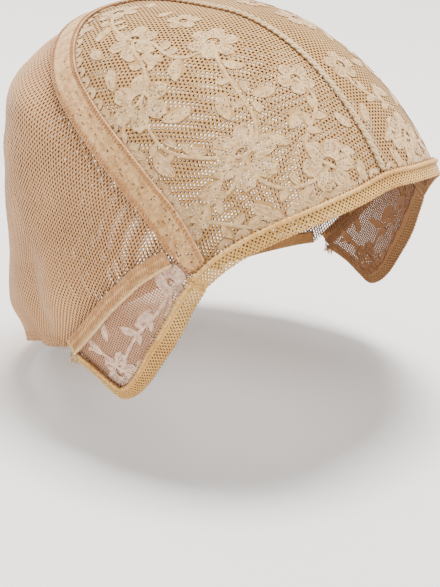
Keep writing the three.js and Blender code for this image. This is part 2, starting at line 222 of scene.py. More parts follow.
def look_up(rows, value):
    rows = np.asarray(rows, float)
    keys = rows[:, 0]
    before = np.clip(np.searchsorted(keys, value, side="right") - 1, 0, len(rows) - 2)
    share = smooth(keys[before], keys[before + 1], value)
    return mix(rows[before, 1], rows[before + 1, 1], share)


def unit(vectors):
    return vectors / np.maximum(np.linalg.norm(vectors, axis=-1, keepdims=True), TINY)


# The head form that the cap is laid on
def towards(ahead, above):
    forward = np.maximum(0, ahead)
    wide = HALF_WIDTH * (1 - FRONT_TAPER * forward**2)
    long = np.where(ahead > 0, FRONT_LENGTH, BACK_LENGTH)
    bend = mix(PLAN_SQUARENESS, FOREHEAD_SQUARENESS, forward)
    tall = np.where(above, CROWN_RISE, NAPE_DROP)
    square = np.where(above, mix(FRONT_SQUARENESS, BACK_SQUARENESS, (1 - ahead) / 2), LOW_SQUARENESS)
    return wide, long, bend, tall, square


def depth(points):
    x, y, z = points[..., 0], points[..., 1], points[..., 2] + CROWN_RISE
    ahead = -y / np.maximum(np.hypot(x, y), TINY)
    wide, long, bend, tall, square = towards(ahead, z > 0)
    plan = (np.abs(x / wide) ** bend + np.abs(y / long) ** bend) ** (1 / bend)
    return (plan**square + np.abs(z / tall) ** square) ** (1 / square)


def outward(points):
    slope = [depth(points + step) - depth(points - step) for step in np.eye(3) * NORMAL_STEP]
    return unit(np.stack(slope, axis=-1))


def onto_form(points):
    return MIDDLE + (points - MIDDLE) / depth(points)[..., None]


def place(side, around, down):
    side, angle, down = np.broadcast_arrays(side, np.radians(around), np.asarray(down, float))
    across, ahead = np.sin(angle), np.cos(angle)
    up = (1 - down) * CROWN_RISE
    wide, long, bend, tall, square = towards(ahead, up > 0)
    level = np.maximum(1 - np.abs(up / tall) ** square, 0) ** (1 / square)
    radius = level / (np.abs(across / wide) ** bend + np.abs(ahead / long) ** bend) ** (1 / bend)
    return np.stack([side * radius * across, -radius * ahead, -down * CROWN_RISE], axis=-1)


class SeamLine:
    """A smooth line on the form through the rows of a table, from the wearer's right to the left."""

    def __init__(self, points, widths=None):
        points = np.asarray(points, float)
        ends = [2 * points[0] - points[1], 2 * points[-1] - points[-2]]
        knots = np.vstack([ends[0], points, ends[1]])
        share = np.linspace(0, 1, SPAN_STEPS, endpoint=False)[:, None]
        spans = []
        for p0, p1, p2, p3 in zip(knots, knots[1:], knots[2:], knots[3:]):
            legs = ((p0, p1), (p1, p2), (p2, p3))
            d0, d1, d2 = (max(np.sqrt(np.linalg.norm(b - a)), KNOT_GAP) for a, b in legs)
            start = ((p1 - p0) / d0 - (p2 - p0) / (d0 + d1) + (p2 - p1) / d1) * d1
            end = ((p2 - p1) / d1 - (p3 - p1) / (d1 + d2) + (p3 - p2) / d2) * d1
            square = 3 * p2 - 3 * p1 - 2 * start - end
            cubic = 2 * p1 - 2 * p2 + start + end
            spans.append(p1 + start * share + square * share**2 + cubic * share**3)
        self.curve = np.vstack([*spans, points[-1:]])
        steps = np.linalg.norm(np.diff(self.curve, axis=0), axis=1)
        self.run = np.concatenate([[0], np.cumsum(steps)])
        self.length = self.run[-1]
        self.ways = unit(np.gradient(self.curve, self.run, axis=0))
        self.row = np.linspace(0, len(points) - 1, len(self.run))
        self.widths = widths
        self.marks = np.linspace(0, self.length, LINE_MARKS + 1)
        self.on, self.way, self.left = self.axes(self.marks)

    def axes(self, along):
        clipped = np.clip(along, 0, self.length)
        curve = np.stack([np.interp(clipped, self.run, self.curve[:, k]) for k in range(3)], axis=-1)
        way = unit(np.stack([np.interp(clipped, self.run, self.ways[:, k]) for k in range(3)], axis=-1))
        on = onto_form(curve)
        return on, way, unit(np.cross(outward(on), way))

    def at(self, along, aside=0.0):
        along, aside = np.broadcast_arrays(np.asarray(along, float), np.asarray(aside, float))
        on, way, left = self.axes(along)
        past = along - np.clip(along, 0, self.length)
        return onto_form(on + way * past[..., None] + left * aside[..., None])

    def near(self, points):
        flat = np.atleast_2d(points)
        found = []
        for part in np.array_split(flat, len(flat) // NEAR_BATCH + 1):
            gaps = ((part[:, None, :] - self.on[None]) ** 2).sum(axis=2)
            found.append(gaps.argmin(axis=1))
        mark = np.concatenate(found)
        off = flat - self.on[mark]
        along = self.marks[mark] + (off * self.way[mark]).sum(axis=1)
        return along, (off * self.left[mark]).sum(axis=1)

    def width(self, along):
        row = np.interp(np.clip(along, 0, self.length), self.run, self.row)
        return np.interp(row, np.arange(len(self.widths)), self.widths)


def side_line(rows):
    return SeamLine([place(RIGHT, row[0], row[1]) for row in rows], [row[-1] for row in rows])


def whole_line(rows):
    right = [place(RIGHT, *row) for row in reversed(rows)]
    return SeamLine(right + [place(LEFT, *row) for row in rows[1:]])


HEM_LINE = whole_line(HEM_EDGE)
BAND_LINE = whole_line(BAND_MIDDLE)
NAPE_LINE = whole_line(NAPE_EDGE)
SEAM_LINE = side_line(SEAM_MIDDLE)
TAPE_LINE = side_line(TAPE_MIDDLE)
TAB_LINE = side_line(TAB_EDGE)


def free_of_seams(points):
    on_right = np.concatenate([-np.abs(points[:, :1]), points[:, 1:]], axis=1)
    behind_band = BAND_LINE.near(on_right)[1] - BAND_WIDTH / 2
    behind_tape = -TAPE_LINE.near(on_right)[1] - TAPE_WIDTH / 2
    return smooth(0, SLACK_BEHIND_BAND, behind_band) * smooth(0, SLACK_BEHIND_TAPE, behind_tape)


def slack(points):
    """Height of the stretched net over the form at places on it."""
    shape = points.shape[:-1]
    points = points.reshape(-1, 3)
    around = np.degrees(np.arctan2(np.abs(points[:, 0]), -points[:, 1]))
    down = -points[:, 2] / CROWN_RISE
    loose = smooth(SLACK_FROM, SLACK_FULL, around)
    above_edge = -NAPE_LINE.near(points)[1] / BACK_LENGTH
    tuck = (1 - smooth(0, TUCK_REACH, above_edge)) * TUCK_IN
    height = (look_up(SLACK, down) - tuck) * loose * BACK_LENGTH
    side = np.where(points[:, 0] < 0, RIGHT, LEFT)
    for from_around, from_down, to_around, to_down, out, wide in FOLDS:
        start = place(side, from_around, from_down)
        way = place(side, to_around, to_down) - start
        share = ((points - start) * way).sum(axis=1) / (way * way).sum(axis=1)
        nearest = start + way * np.clip(share, 0, 1)[:, None]
        away = np.linalg.norm(points - nearest, axis=1) / (wide * HALF_WIDTH)
        height += out * HALF_WIDTH * np.exp(-(away**2))
    return (height * free_of_seams(points)).reshape(shape)


def clear_from(start, way, is_clear):
    along = start
    while not is_clear(along):
        along += way * END_STEP
    return along


def aside_of(line, point):
    return line.near(point)[1][0]


def binding_width(along):
    return BINDING_WIDTH * TAB_LINE.width(along)


CROSSING = BAND_LINE.near(TAPE_LINE.at(0))[0][0]


def band_stop(across):
    def is_clear(along):
        return aside_of(HEM_LINE, BAND_LINE.at(along, across * BAND_WIDTH)) > HEM_WIDTH + CLEARANCE

    return clear_from(CROSSING + TAPE_WIDTH / 2 - look_up(BAND_SLOPE, across) * BAND_WIDTH, 1, is_clear)


def tape_start(across):
    def is_clear(along):
        point = TAPE_LINE.at(along, across * TAPE_WIDTH)
        return aside_of(BAND_LINE, point) > BAND_WIDTH / 2 + CLEARANCE

    return clear_from(0, 1, is_clear)


def binding_start(across):
    def is_clear(along):
        before, aside = HEM_LINE.near(TAB_LINE.at(along, across * binding_width(along)))
        return before[0] < -(aside[0] / HEM_WIDTH) * HEM_MITRE - CLEARANCE

    return clear_from(0, 1, is_clear)


def binding_end(across):
    def is_clear(along):
        point = TAB_LINE.at(along, across * binding_width(along))
        return aside_of(TAPE_LINE, point) > TAPE_WIDTH / 2 + CLEARANCE

    return clear_from(TAB_LINE.length, -1, is_clear)


def stops(find, acrosses):
    """Where a band starts or ends for each share of its width, found at a few and read between."""
    keys = np.linspace(min(acrosses), max(acrosses), 6)
    ends = [find(key) for key in keys]
    return lambda across: np.interp(across, keys, ends)


# Meshes
def new_piece(name, corners, faces, material, opens=None):
    """A mesh object at the origin from corners in millimetres."""
    mesh = bpy.data.meshes.new(name)
    corners = np.asarray(corners, float).reshape(-1, 3) * MM
    mesh.from_pydata(corners.tolist(), [], [tuple(face) for face in faces])
    mesh.materials.append(material)
    if opens is not None:
        layer = mesh.attributes.new("open", "FLOAT", "FACE")
        layer.data.foreach_set("value", np.asarray(opens, np.float32))
    mesh.update()
    piece = bpy.data.objects.new(name, mesh)
    bpy.context.scene.collection.objects.link(piece)
    return piece


def set_smooth(piece):
    piece.data.polygons.foreach_set("use_smooth", [True] * len(piece.data.polygons))
    piece.data.update()


def drop_loose(piece):
    """Takes away corners that no face uses."""
    work = bmesh.new()
    work.from_mesh(piece.data)
    bmesh.ops.delete(work, geom=[corner for corner in work.verts if not corner.link_faces], context="VERTS")
    work.to_mesh(piece.data)
    work.free()


def ground_area(corners, faces):
    """Area of a net's cells with their holes, in square millimetres."""
    spokes = corners[faces] - corners[faces[:, :1]]
    parts = (np.cross(spokes[:, k], spokes[:, k + 1]) for k in range(1, faces.shape[1] - 1))
    return sum(np.linalg.norm(part, axis=1).sum() for part in parts) / 2


def settle(piece):
    """Turns a piece's modifiers into its plain mesh."""
    graph = bpy.context.evaluated_depsgraph_get()
    mesh = bpy.data.meshes.new_from_object(piece.evaluated_get(graph), depsgraph=graph)
    piece.modifiers.clear()
    old = piece.data
    piece.data = mesh
    bpy.data.meshes.remove(old)
    mesh.name = piece.name
    return piece


def with_nodes(piece, tree, values):
    modifier = piece.modifiers.new("Repeats", "NODES")
    modifier.node_group = tree
    for item in tree.interface.items_tree:
        if item.item_type == "SOCKET" and item.in_out == "INPUT" and item.name in values:
            modifier[item.identifier] = values[item.name]


def with_wall(piece, thickness):
    modifier = piece.modifiers.new("Wall", "SOLIDIFY")
    modifier.thickness = thickness * MM
    modifier.offset = -1
    modifier.use_even_offset = False


def mirrored(piece):
    """The same piece on the wearer's left."""
    name = piece.name.replace("right", "left")
    mesh = piece.data.copy()
    mesh.name = name
    flip = np.empty(len(mesh.vertices) * 3, np.float32)
    mesh.vertices.foreach_get("co", flip)
    flip[0::3] *= -1
    mesh.vertices.foreach_set("co", flip)
    mesh.flip_normals()
    mesh.update()
    copy = bpy.data.objects.new(name, mesh)
    bpy.context.scene.collection.objects.link(copy)
    return copy


def grid_faces(rows, columns, wraps=False):
    """Faces of a grid of corners; a wrapping grid's last column joins its first."""
    spans = columns if wraps else columns - 1
    row, column = np.meshgrid(np.arange(rows - 1), np.arange(spans), indexing="ij")
    after = (column + 1) % columns
    corner = row * columns
    return np.stack([corner + column, corner + after, corner + columns + after, corner + columns + column],
                    axis=-1).reshape(-1, 4)


def facing_out(corners, faces):
    """The faces turned so that most of them look away from the middle of the head."""
    a, b, c = (corners[faces[:, k]] for k in range(3))
    looks = np.einsum("ij,ij->i", np.cross(b - a, c - a), a - MIDDLE)
    return faces[:, ::-1] if np.median(looks) < 0 else faces


# Geometry Nodes
def new_group(name, kind, inputs, outputs):
    """A node group with its sockets, and what its input node gives."""
    tree = bpy.data.node_groups.new(name, kind)
    for label, value_kind, value in inputs:
        made = tree.interface.new_socket(label, in_out="INPUT", socket_type="NodeSocket" + value_kind)
        if value is not None:
            made.default_value = value
    for label, value_kind in outputs:
        tree.interface.new_socket(label, in_out="OUTPUT", socket_type="NodeSocket" + value_kind)
    return tree, tree.nodes.new("NodeGroupInput").outputs


def node(tree, kind, inputs=(), **settings):
    """A node with its settings; each input takes a value, or a link from another node's output."""
    made = tree.nodes.new(kind)
    for name, value in settings.items():
        setattr(made, name, value)
    for key, value in dict(inputs).items():
        if isinstance(value, bpy.types.NodeSocket):
            tree.links.new(value, made.inputs[key])
        else:
            made.inputs[key].default_value = value
    return made


def attribute(tree, name, kind):
    return node(tree, "GeometryNodeInputNamedAttribute", {"Name": name}, data_type=kind).outputs[0]


def finish_tree(tree, geometry, thread):
    """Makes the instances real, lays the thread on them and ends the tree."""
    real = node(tree, "GeometryNodeRealizeInstances", {"Geometry": geometry}).outputs["Geometry"]
    paint = node(tree, "GeometryNodeSetMaterial", {"Geometry": real, "Material": thread})
    node(tree, "NodeGroupOutput", {"Geometry": paint.outputs["Geometry"]})


def net_tree():
    """Opens a hole in every face of a mesh that asks for one, and gives it its thread."""
    tree, start = new_group(
        "Open net", "GeometryNodeTree",
        [("Geometry", "Geometry", None), ("Hole share", "Float", 1.0), ("Thread", "Material", None)],
        [("Geometry", "Geometry")],
    )
    is_open = attribute(tree, "open", "FLOAT")
    share = node(tree, "ShaderNodeMath", {0: is_open, 1: start["Hole share"]}, operation="MULTIPLY")
    extrude = node(tree, "GeometryNodeExtrudeMesh",
                   {"Mesh": start["Geometry"], "Selection": is_open, "Offset Scale": 0}).outputs
    scale = node(tree, "GeometryNodeScaleElements",
                 {"Geometry": extrude["Mesh"], "Selection": extrude["Top"],
                  "Scale": share.outputs[0]}).outputs
    cut = node(tree, "GeometryNodeDeleteGeometry",
               {"Geometry": scale["Geometry"], "Selection": extrude["Top"]}, domain="FACE").outputs
    finish_tree(tree, cut["Geometry"], start["Thread"])
    return tree


def stitch_tree():
    """Lays a thread stitch on every point, along its way and facing out."""
    tree, start = new_group(
        "Thread stitches", "GeometryNodeTree", [("Geometry", "Geometry", None), ("Thread", "Material", None)],
        [("Geometry", "Geometry")],
    )
    way, out, size = (attribute(tree, name, "FLOAT_VECTOR") for name in ("way", "out", "size"))
    shape = node(tree, "GeometryNodeMeshIcoSphere", {"Radius": 0.5, "Subdivisions": 1}).outputs["Mesh"]
    along = node(tree, "FunctionNodeAlignRotationToVector", {"Vector": way}, axis="X").outputs["Rotation"]
    turned = node(tree, "FunctionNodeAlignRotationToVector", {"Rotation": along, "Vector": out},
                  axis="Z", pivot_axis="X").outputs["Rotation"]
    lay = node(tree, "GeometryNodeInstanceOnPoints",
               {"Points": start["Geometry"], "Instance": shape, "Rotation": turned, "Scale": size})
    finish_tree(tree, lay.outputs["Instances"], start["Thread"])
    return tree


def tree_named(name, make):
    return bpy.data.node_groups.get(name) or make()


def open_net(name, corners, faces, opens, material, wall, hole=1.0):
    piece = new_piece(name, corners, faces, material, opens)
    with_nodes(piece, tree_named("Open net", net_tree), {"Hole share": hole, "Thread": material})
    with_wall(piece, wall)
    return settle(piece)


def stitches(name, rows, material):
    """rows hold places, ways, outs and sizes (length, width, height) in millimetres."""
    spots, ways, outs, sizes = (np.concatenate([row[k] for row in rows]) for k in range(4))
    piece = new_piece(name, spots, [], material)
    for label, values in (("way", ways), ("out", outs), ("size", sizes * MM)):
        layer = piece.data.attributes.new(label, "FLOAT_VECTOR", "POINT")
        layer.data.foreach_set("vector", np.ascontiguousarray(values, np.float32).ravel())
    with_nodes(piece, tree_named("Thread stitches", stitch_tree), {"Thread": material})
    settle(piece)
    set_smooth(piece)
    return piece


# Cells of the nets, in whole steps of half a cell
CELL_SHAPES = {
    "diamond": [(1, 0), (0, 1), (-1, 0), (0, -1)],
    "hexagon": [(0, 2), (-1, 1), (-1, -1), (0, -2), (1, -1), (1, 1)],
    "square": [(1, 1), (-1, 1), (-1, -1), (1, -1)],
}


def cells(kind, columns, rows):
    """Middles of the cells of a kind of net, within a range of columns and of rows."""
    column, row = np.meshgrid(np.arange(*columns), np.arange(*rows), indexing="ij")
    column, row = column.ravel(), row.ravel()
    if kind == "diamond":
        return np.stack([2 * column + row % 2, row], axis=1)
    if kind == "hexagon":
        return np.stack([2 * column + row % 2, 3 * row], axis=1)
    return np.stack([2 * column, 2 * row], axis=1)


def cell_mesh(kind, middles):
    """Corners shared between cells, and each cell's face."""
    shape = np.array(CELL_SHAPES[kind])
    spots = (middles[:, None, :] + shape[None]).reshape(-1, 2)
    corners, faces = np.unique(spots, axis=0, return_inverse=True)
    return corners, faces.reshape(len(middles), len(shape))


def node_tree(name):
    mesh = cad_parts[name].data
    corners = [vertex.co.copy() for vertex in mesh.vertices]
    return BVHTree.FromPolygons(corners, [tuple(face.vertices) for face in mesh.polygons])


def over_node(name, places):
    """Which places on the form, in millimetres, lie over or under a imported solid."""
    tree = node_tree(name)
    outs = outward(places)
    starts = (places + outs * LOOK_FROM) * MM
    keep = np.zeros(len(places), bool)
    for index, (start, out) in enumerate(zip(starts, outs)):
        keep[index] = tree.ray_cast(Vector(start), Vector(-out), 2 * LOOK_FROM * MM)[0] is not None
    return keep


def noise(points, pitch, seed=0):
    """A soft, repeatable unevenness between -1 and 1."""
    waves = np.random.default_rng(seed).normal(size=(5, 3)) / pitch
    turns = np.random.default_rng(seed + 1).uniform(0, 2 * math.pi, 5)
    return np.sin(points @ waves.T + turns).mean(axis=-1) * 1.6


# Flower lace: around, down, reach in mm, turn in degrees, petals
FLOWERS = [
    (82, 0.22, 11.5, 10, 6), (42, 0.35, 12.5, 25, 6), (18, 0.39, 10.5, 0, 6), (57, 0.05, 9.5, 40, 6),
    (107, 0.065, 9.5, 15, 6), (16, 0.15, 7.5, 0, 5), (57, 0.56, 7, 30, 5), (27, 0.5, 5.5, 10, 5),
    (150, 0.03, 8.5, 10, 6), (100, 0.012, 6.5, 0, 5),
]
# Around, down, turn in degrees, length and width in mm
LEAVES = [
    (67, 0.39, 40, 13, 5.5), (66, 0.24, -30, 12, 5), (5.5, 0.28, 60, 9, 4), (37, 0.51, 20, 13, 5),
    (7.5, 0.43, 100, 9, 4), (52, 0.45, -40, 11, 4.5), (78, 0.37, 10, 11, 4.5), (99, 0.17, 60, 11, 4.5),
    (116, 0.115, 20, 9, 4), (48, 0.21, 70, 12, 5), (57, 0.34, 0, 9, 4), (24, 0.25, -50, 10, 4.5),
    (31, 0.3, 30, 9, 4), (32, 0.17, -20, 10, 4.5), (72, 0.12, 80, 11, 5), (88, 0.1, 30, 9, 4),
    (12, 0.48, 10, 9, 4), (66, 0.5, -60, 8, 3.5), (92, 0.29, -20, 9, 4), (126, 0.07, 70, 9, 4),
    (44, 0.1, 20, 9, 4), (41, 0.6, -10, 8, 3.2), (10, 0.36, 30, 8, 3.4), (88, 0.2, -70, 9, 4),
    (165, 0.055, 60, 9, 4), (140, 0.075, -20, 8, 3.6), (160, 0.01, 0, 8, 3.6), (128, 0.008, 90, 8, 3.6),
]
# Ways through places (around, down) that a stem follows
STEMS = [
    [(82, 0.22), (72, 0.32), (62, 0.36), (42, 0.35)],
    [(42, 0.35), (34, 0.44), (24, 0.43), (18, 0.39)],
    [(42, 0.35), (38, 0.24), (46, 0.14), (57, 0.05)],
    [(18, 0.39), (22, 0.3), (14, 0.23), (16, 0.15)],
    [(82, 0.22), (86, 0.14), (96, 0.1), (107, 0.065)],
    [(42, 0.35), (47, 0.46), (52, 0.5), (57, 0.56)],
    [(57, 0.05), (76, 0.09), (90, 0.07), (107, 0.065)],
    [(18, 0.39), (14, 0.46), (20, 0.5), (27, 0.5)],
    [(27, 0.5), (38, 0.56), (46, 0.56), (57, 0.56)],
    [(82, 0.22), (84, 0.32), (76, 0.42), (68, 0.47)],
    [(107, 0.065), (128, 0.05), (150, 0.03)],
]
TAB_FLOWERS = [(78, 1.165, 8, 20, 5), (62, 0.775, 6, 0, 5)]
TAB_LEAVES = [
    (60.5, 0.735, 30, 9, 5.5), (64.5, 0.775, 60, 8, 4.5),
    (87, 1.1, 30, 9, 3.6), (83, 1.03, 80, 8, 3.2), (70, 0.92, -50, 9, 3.6), (75, 0.99, 0, 9, 3.4),
    (66, 1.03, 60, 9, 3.6), (62, 0.9, 90, 8, 3.2), (71, 1.12, 100, 7, 3),
]
TAB_STEMS = [
    [(62.5, 0.79), (66, 0.9), (72, 1), (78, 1.165)],
    [(78, 1.165), (84, 1.12), (90, 1.12)],
    [(62.5, 0.79), (62, 0.92), (66, 1.06), (78, 1.165)],
]
EYE_SHARE = 0.27
DEEP_SHARE = 0.84
CORE_SHARE = 0.1
PETAL_STEPS = 14
SPRIG_SHARES = (0.36, 0.46, 0.56, 0.66)
PETAL_SLIT = 0.62
PETAL_DOT = 0.56
PETAL_DOTS = 0.24
LEAF_DOT = 0.52
SMALL_LEAF = 7
CORE_SIDES = 10
SPRIG_LEAN = math.radians(48)
STEM_WIDTH = 1.3
PLATE_TOP = 1.12
PLATE_WALL = 0.4
LEAF_DOTS = 0.16


def petal_reach(angle, reach, petals):
    """How far a flower's outline lies from its middle, in each direction."""
    lobe = np.abs(np.cos(petals * angle / 2)) ** 0.62
    return reach * (0.56 + 0.44 * lobe) * (1 + 0.035 * np.cos(petals * 4 * angle))


class Flat:
    """A flat frame on the form at a place, turned by some degrees."""

    def __init__(self, around, down, turn):
        self.middle = place(RIGHT, around, down)
        self.out = outward(self.middle)
        level = unit(np.cross(self.out, [0, 0, 1.0]))
        rise = np.cross(level, self.out)
        angle = math.radians(turn)
        self.x = level * math.cos(angle) + rise * math.sin(angle)
        self.y = np.cross(self.out, self.x)

    def over(self, x, y, height):
        spot = onto_form(self.middle + np.asarray(x)[..., None] * self.x + np.asarray(y)[..., None] * self.y)
        return spot + outward(spot) * np.asarray(height)[..., None]

    def read(self, points):
        off = points - self.middle
        return off @ self.x, off @ self.y


def leaf_half(share, width):
    return width / 2 * np.sin(np.pi * np.clip(share, 0, 1)) ** 0.75


def stem_path(knots, count=40):
    """Places along a smooth way through a stem's knots."""
    knots = np.asarray(knots, float)
    key = np.linspace(0, 1, len(knots))
    share = np.linspace(0, 1, count)
    shape = np.linalg.solve(np.vander(key, len(knots)), knots)
    path = np.vander(share, len(knots)) @ shape
    return place(RIGHT, path[:, 0], path[:, 1])


def sprigs(stems, length, width):
    """Small leaves in turn on both sides of each stem, as rows of the leaves' table."""
    rows = []
    for knots in stems:
        path = stem_path(knots)
        for turn, share in enumerate(SPRIG_SHARES):
            index = int(share * (len(path) - 1))
            out = outward(path[index])
            way = unit(path[index + 1] - path[index])
            side = np.cross(out, way) * (1 if turn % 2 else -1)
            lean = unit(way * math.cos(SPRIG_LEAN) + side * math.sin(SPRIG_LEAN))
            spot = onto_form(path[index] + lean * (length / 2 + STEM_WIDTH / 3))
            around = math.degrees(math.atan2(-spot[0], -spot[1]))
            down = -spot[2] / CROWN_RISE
            flat = Flat(around, down, 0)
            x, y = lean @ flat.x, lean @ flat.y
            rows.append((around, down, math.degrees(math.atan2(y, x)), length, width))
    return rows


def motif_cover(points, flowers, leaves, stems):
    """Which places on the form lie under a motif's solid threads, and which lie well inside a flower."""
    under = np.zeros(len(points), bool)
    deep = np.zeros(len(points), bool)
    for around, down, reach, turn, petals in flowers:
        flat = Flat(around, down, turn)
        x, y = flat.read(points)
        away = np.hypot(x, y)
        edge = petal_reach(np.arctan2(y, x), reach, petals)
        is_near = ((points - flat.middle) @ flat.out) > -reach
        under |= is_near & (away < edge) & (away > EYE_SHARE * reach)
        deep |= is_near & (away < DEEP_SHARE * edge) & (away > (EYE_SHARE + 0.05) * reach)
    for around, down, turn, length, width in leaves:
        flat = Flat(around, down, turn)
        x, y = flat.read(points)
        share = x / length + 0.5
        near = np.linalg.norm(points - flat.middle, axis=1) < length
        under |= near & (share > 0) & (share < 1) & (np.abs(y) < leaf_half(share, width))
    for knots in stems:
        path = stem_path(knots)
        gaps = np.linalg.norm(points[:, None] - path[None], axis=2).min(axis=1)
        under |= gaps < STEM_WIDTH / 2
    return under, deep


def flower_plate(around, down, reach, turn, petals):
    flat = Flat(around, down, turn)
    angle = np.linspace(0, 2 * np.pi, petals * PETAL_STEPS, endpoint=False)
    edge = petal_reach(angle, reach, petals)
    shares = np.array([0, 0.12, 0.3, 0.5, 0.68, 0.82, 0.93, 1])
    rise = np.array([0.16, 0.13, 0.02, 0.05, 0.02, 0.06, 0.16, 0.1])
    away = EYE_SHARE * reach + (edge[None] - EYE_SHARE * reach) * shares[:, None]
    vein = 0.07 * np.cos(petals * 3 * angle)[None] * np.sin(np.pi * shares)[:, None]
    corners = flat.over(away * np.cos(angle), away * np.sin(angle), PLATE_TOP + rise[:, None] + vein)
    steps = np.arange(len(angle)) % PETAL_STEPS
    ring, petal = np.meshgrid(np.arange(len(shares) - 1), steps, indexing="ij")
    slit = (ring > 0) & (ring < 5) & ((petal == 2) | (petal == PETAL_STEPS - 3))
    draw = np.random.default_rng(int(around * 10)).random(ring.shape)
    dotted = (draw < PETAL_DOTS) & (ring < 6)
    opens = np.where(slit, PETAL_SLIT, np.where(dotted, PETAL_DOT, 0)).ravel()
    return corners.reshape(-1, 3), grid_faces(len(shares), len(angle), wraps=True), opens


def flower_core(around, down, reach, turn):
    flat = Flat(around, down, turn)
    angle = np.linspace(0, 2 * np.pi, CORE_SIDES, endpoint=False)
    away = reach * CORE_SHARE
    ring = flat.over(away * np.cos(angle), away * np.sin(angle), np.full(CORE_SIDES, PLATE_TOP))
    corners = np.vstack([flat.over(0, 0, PLATE_TOP + 0.2)[None], ring])
    faces = [(0, 1 + k, 1 + (k + 1) % CORE_SIDES) for k in range(CORE_SIDES)]
    return corners, np.array(faces)


def leaf_plate(around, down, turn, length, width):
    flat = Flat(around, down, turn)
    shares = np.linspace(0.02, 0.98, 13 if length > SMALL_LEAF else 9)
    sides = np.array([-1, -0.82, -0.4, 0, 0.4, 0.82, 1])
    rise = np.array([0.08, 0.16, 0.03, 0.12, 0.03, 0.16, 0.08])
    half = leaf_half(shares, width)
    x = np.repeat((shares - 0.5)[:, None] * length, len(sides), axis=1)
    bend = 0.08 * length * (1 - (2 * shares - 1) ** 2)
    corners = flat.over(x, half[:, None] * sides[None] + bend[:, None], PLATE_TOP + rise[None] + 0 * x)
    faces = grid_faces(len(shares), len(sides))
    draw = np.random.default_rng(int(around * 10 + length)).random(len(faces))
    opens = np.where((draw < LEAF_DOTS) & (length > SMALL_LEAF), LEAF_DOT, 0)
    return corners.reshape(-1, 3), faces, opens


def stem_plate(knots):
    path = stem_path(knots)
    way = unit(np.gradient(path, axis=0))
    left = np.cross(outward(path), way)
    sides = np.array([-0.5, -0.25, 0.25, 0.5]) * STEM_WIDTH
    spots = onto_form(path[:, None] + left[:, None] * sides[None, :, None])
    corners = spots + outward(spots) * (PLATE_TOP + np.array([0, 0.1, 0.1, 0]))[None, :, None]
    return corners.reshape(-1, 3), grid_faces(len(path), len(sides))


def scallops(line, along, aside, reach, pointing):
    """A row of small half rounds along a seam line."""
    plates = []
    for at in along:
        angle = np.linspace(0, np.pi, 9)
        shares = np.array([0.3, 0.65, 1])
        x = at + shares[:, None] * reach * np.cos(angle)
        y = aside + pointing * shares[:, None] * reach * np.sin(angle)
        spots = line.at(x, y)
        rise = np.array([0, 0.04, 0.14])[:, None, None]
        plates.append(((spots + outward(spots) * (PLATE_TOP + rise)).reshape(-1, 3), grid_faces(3, 9)))
    return plates


def joined(plates):
    """One list of corners, of faces and of the faces' holes from several plates."""
    corners, faces, opens, count = [], [], [], 0
    for spots, loops, *holes in plates:
        corners.append(spots)
        turned = facing_out(spots, np.asarray(loops))
        faces.extend([corner + count for corner in loop] for loop in turned)
        opens.extend(holes[0] if holes else [0] * len(loops))
        count += len(spots)
    return np.vstack(corners), faces, opens


# Pieces
def azimuthal(flat, x, y, round_by):
    """Places on the form at plane distances from a place, kept true from its middle outwards."""
    away = np.hypot(x, y)
    angle = away / round_by
    out = unit(flat.middle - MIDDLE)
    level = unit(np.cross(out, [0, 0, 1.0]))
    rise = np.cross(level, out)
    side = (level * x[:, None] + rise * y[:, None]) / np.maximum(away, TINY)[:, None]
    return onto_form(MIDDLE + out * np.cos(angle)[:, None] + side * np.sin(angle)[:, None])


def laid_net(kind, pitch, middles, to_form, height):
    """Corners of a net's cells on the form at a height, and its faces turned outwards."""
    grid, faces = cell_mesh(kind, middles)
    spots = to_form(grid * np.asarray(pitch))
    corners = spots + outward(spots) * height(spots)[:, None]
    return corners, facing_out(corners, faces)


def ground_height(places):
    return np.full(len(places), GROUND_HEIGHT)


def lace_piece(name, node_name, slot, spec, motifs, material, sizes):
    """A lace's ground on the right, open where no motif lies, and the same on the left."""
    kind, pitch, centre, turn, reach, round_by, hole = spec
    steps = np.array([pitch / 2, pitch / (math.sqrt(12) if kind == "hexagon" else 2)])
    flat = Flat(*centre, 0)
    angle = math.radians(turn)
    spin = np.array([[math.cos(angle), -math.sin(angle)], [math.sin(angle), math.cos(angle)]])

    def to_form(plane):
        turned = plane @ spin.T
        return azimuthal(flat, turned[:, 0], turned[:, 1], round_by)

    count = int(reach / pitch)
    middles = cells(kind, (-count, count), (-int(count * 1.2), int(count * 1.2)))
    away = np.hypot(*(middles * steps).T)
    middles = middles[away < reach]
    spots = to_form(middles * steps)
    over = over_node(node_name, spots)
    middles, spots = middles[over], spots[over]
    whole = ground_area(*laid_net(kind, steps, middles, to_form, ground_height))
    under, deep = motif_cover(spots, *motifs)
    middles, spots, under = middles[~deep], spots[~deep], under[~deep]
    opens = np.where(under, 0, hole * (1 + 0.07 * noise(spots, 6)))
    corners, faces = laid_net(kind, steps, middles, to_form, ground_height)
    piece = open_net(name, corners, faces, opens, material, sizes.thread_wall)
    for made, side in ((piece, "right"), (mirrored(piece), "left")):
        carried(made, slot, node_name.replace("right", side))


def motif_piece(name, node_name, plates, material):
    """Flowers, leaves and stems, kept to the lace that they are worked on."""
    corners, faces, opens = joined(plates)
    keep = over_node(node_name, corners)
    kept = [index for index, face in enumerate(faces) if all(keep[corner] for corner in face)]
    piece = new_piece(name, corners, [faces[k] for k in kept], material, [opens[k] for k in kept])
    drop_loose(piece)
    with_nodes(piece, tree_named("Open net", net_tree), {"Hole share": 1.0, "Thread": material})
    with_wall(piece, PLATE_WALL)
    settle(piece)
    for made in (piece, mirrored(piece)):
        carried(made, "flower_lace" if "top" in name else "tab_lace")


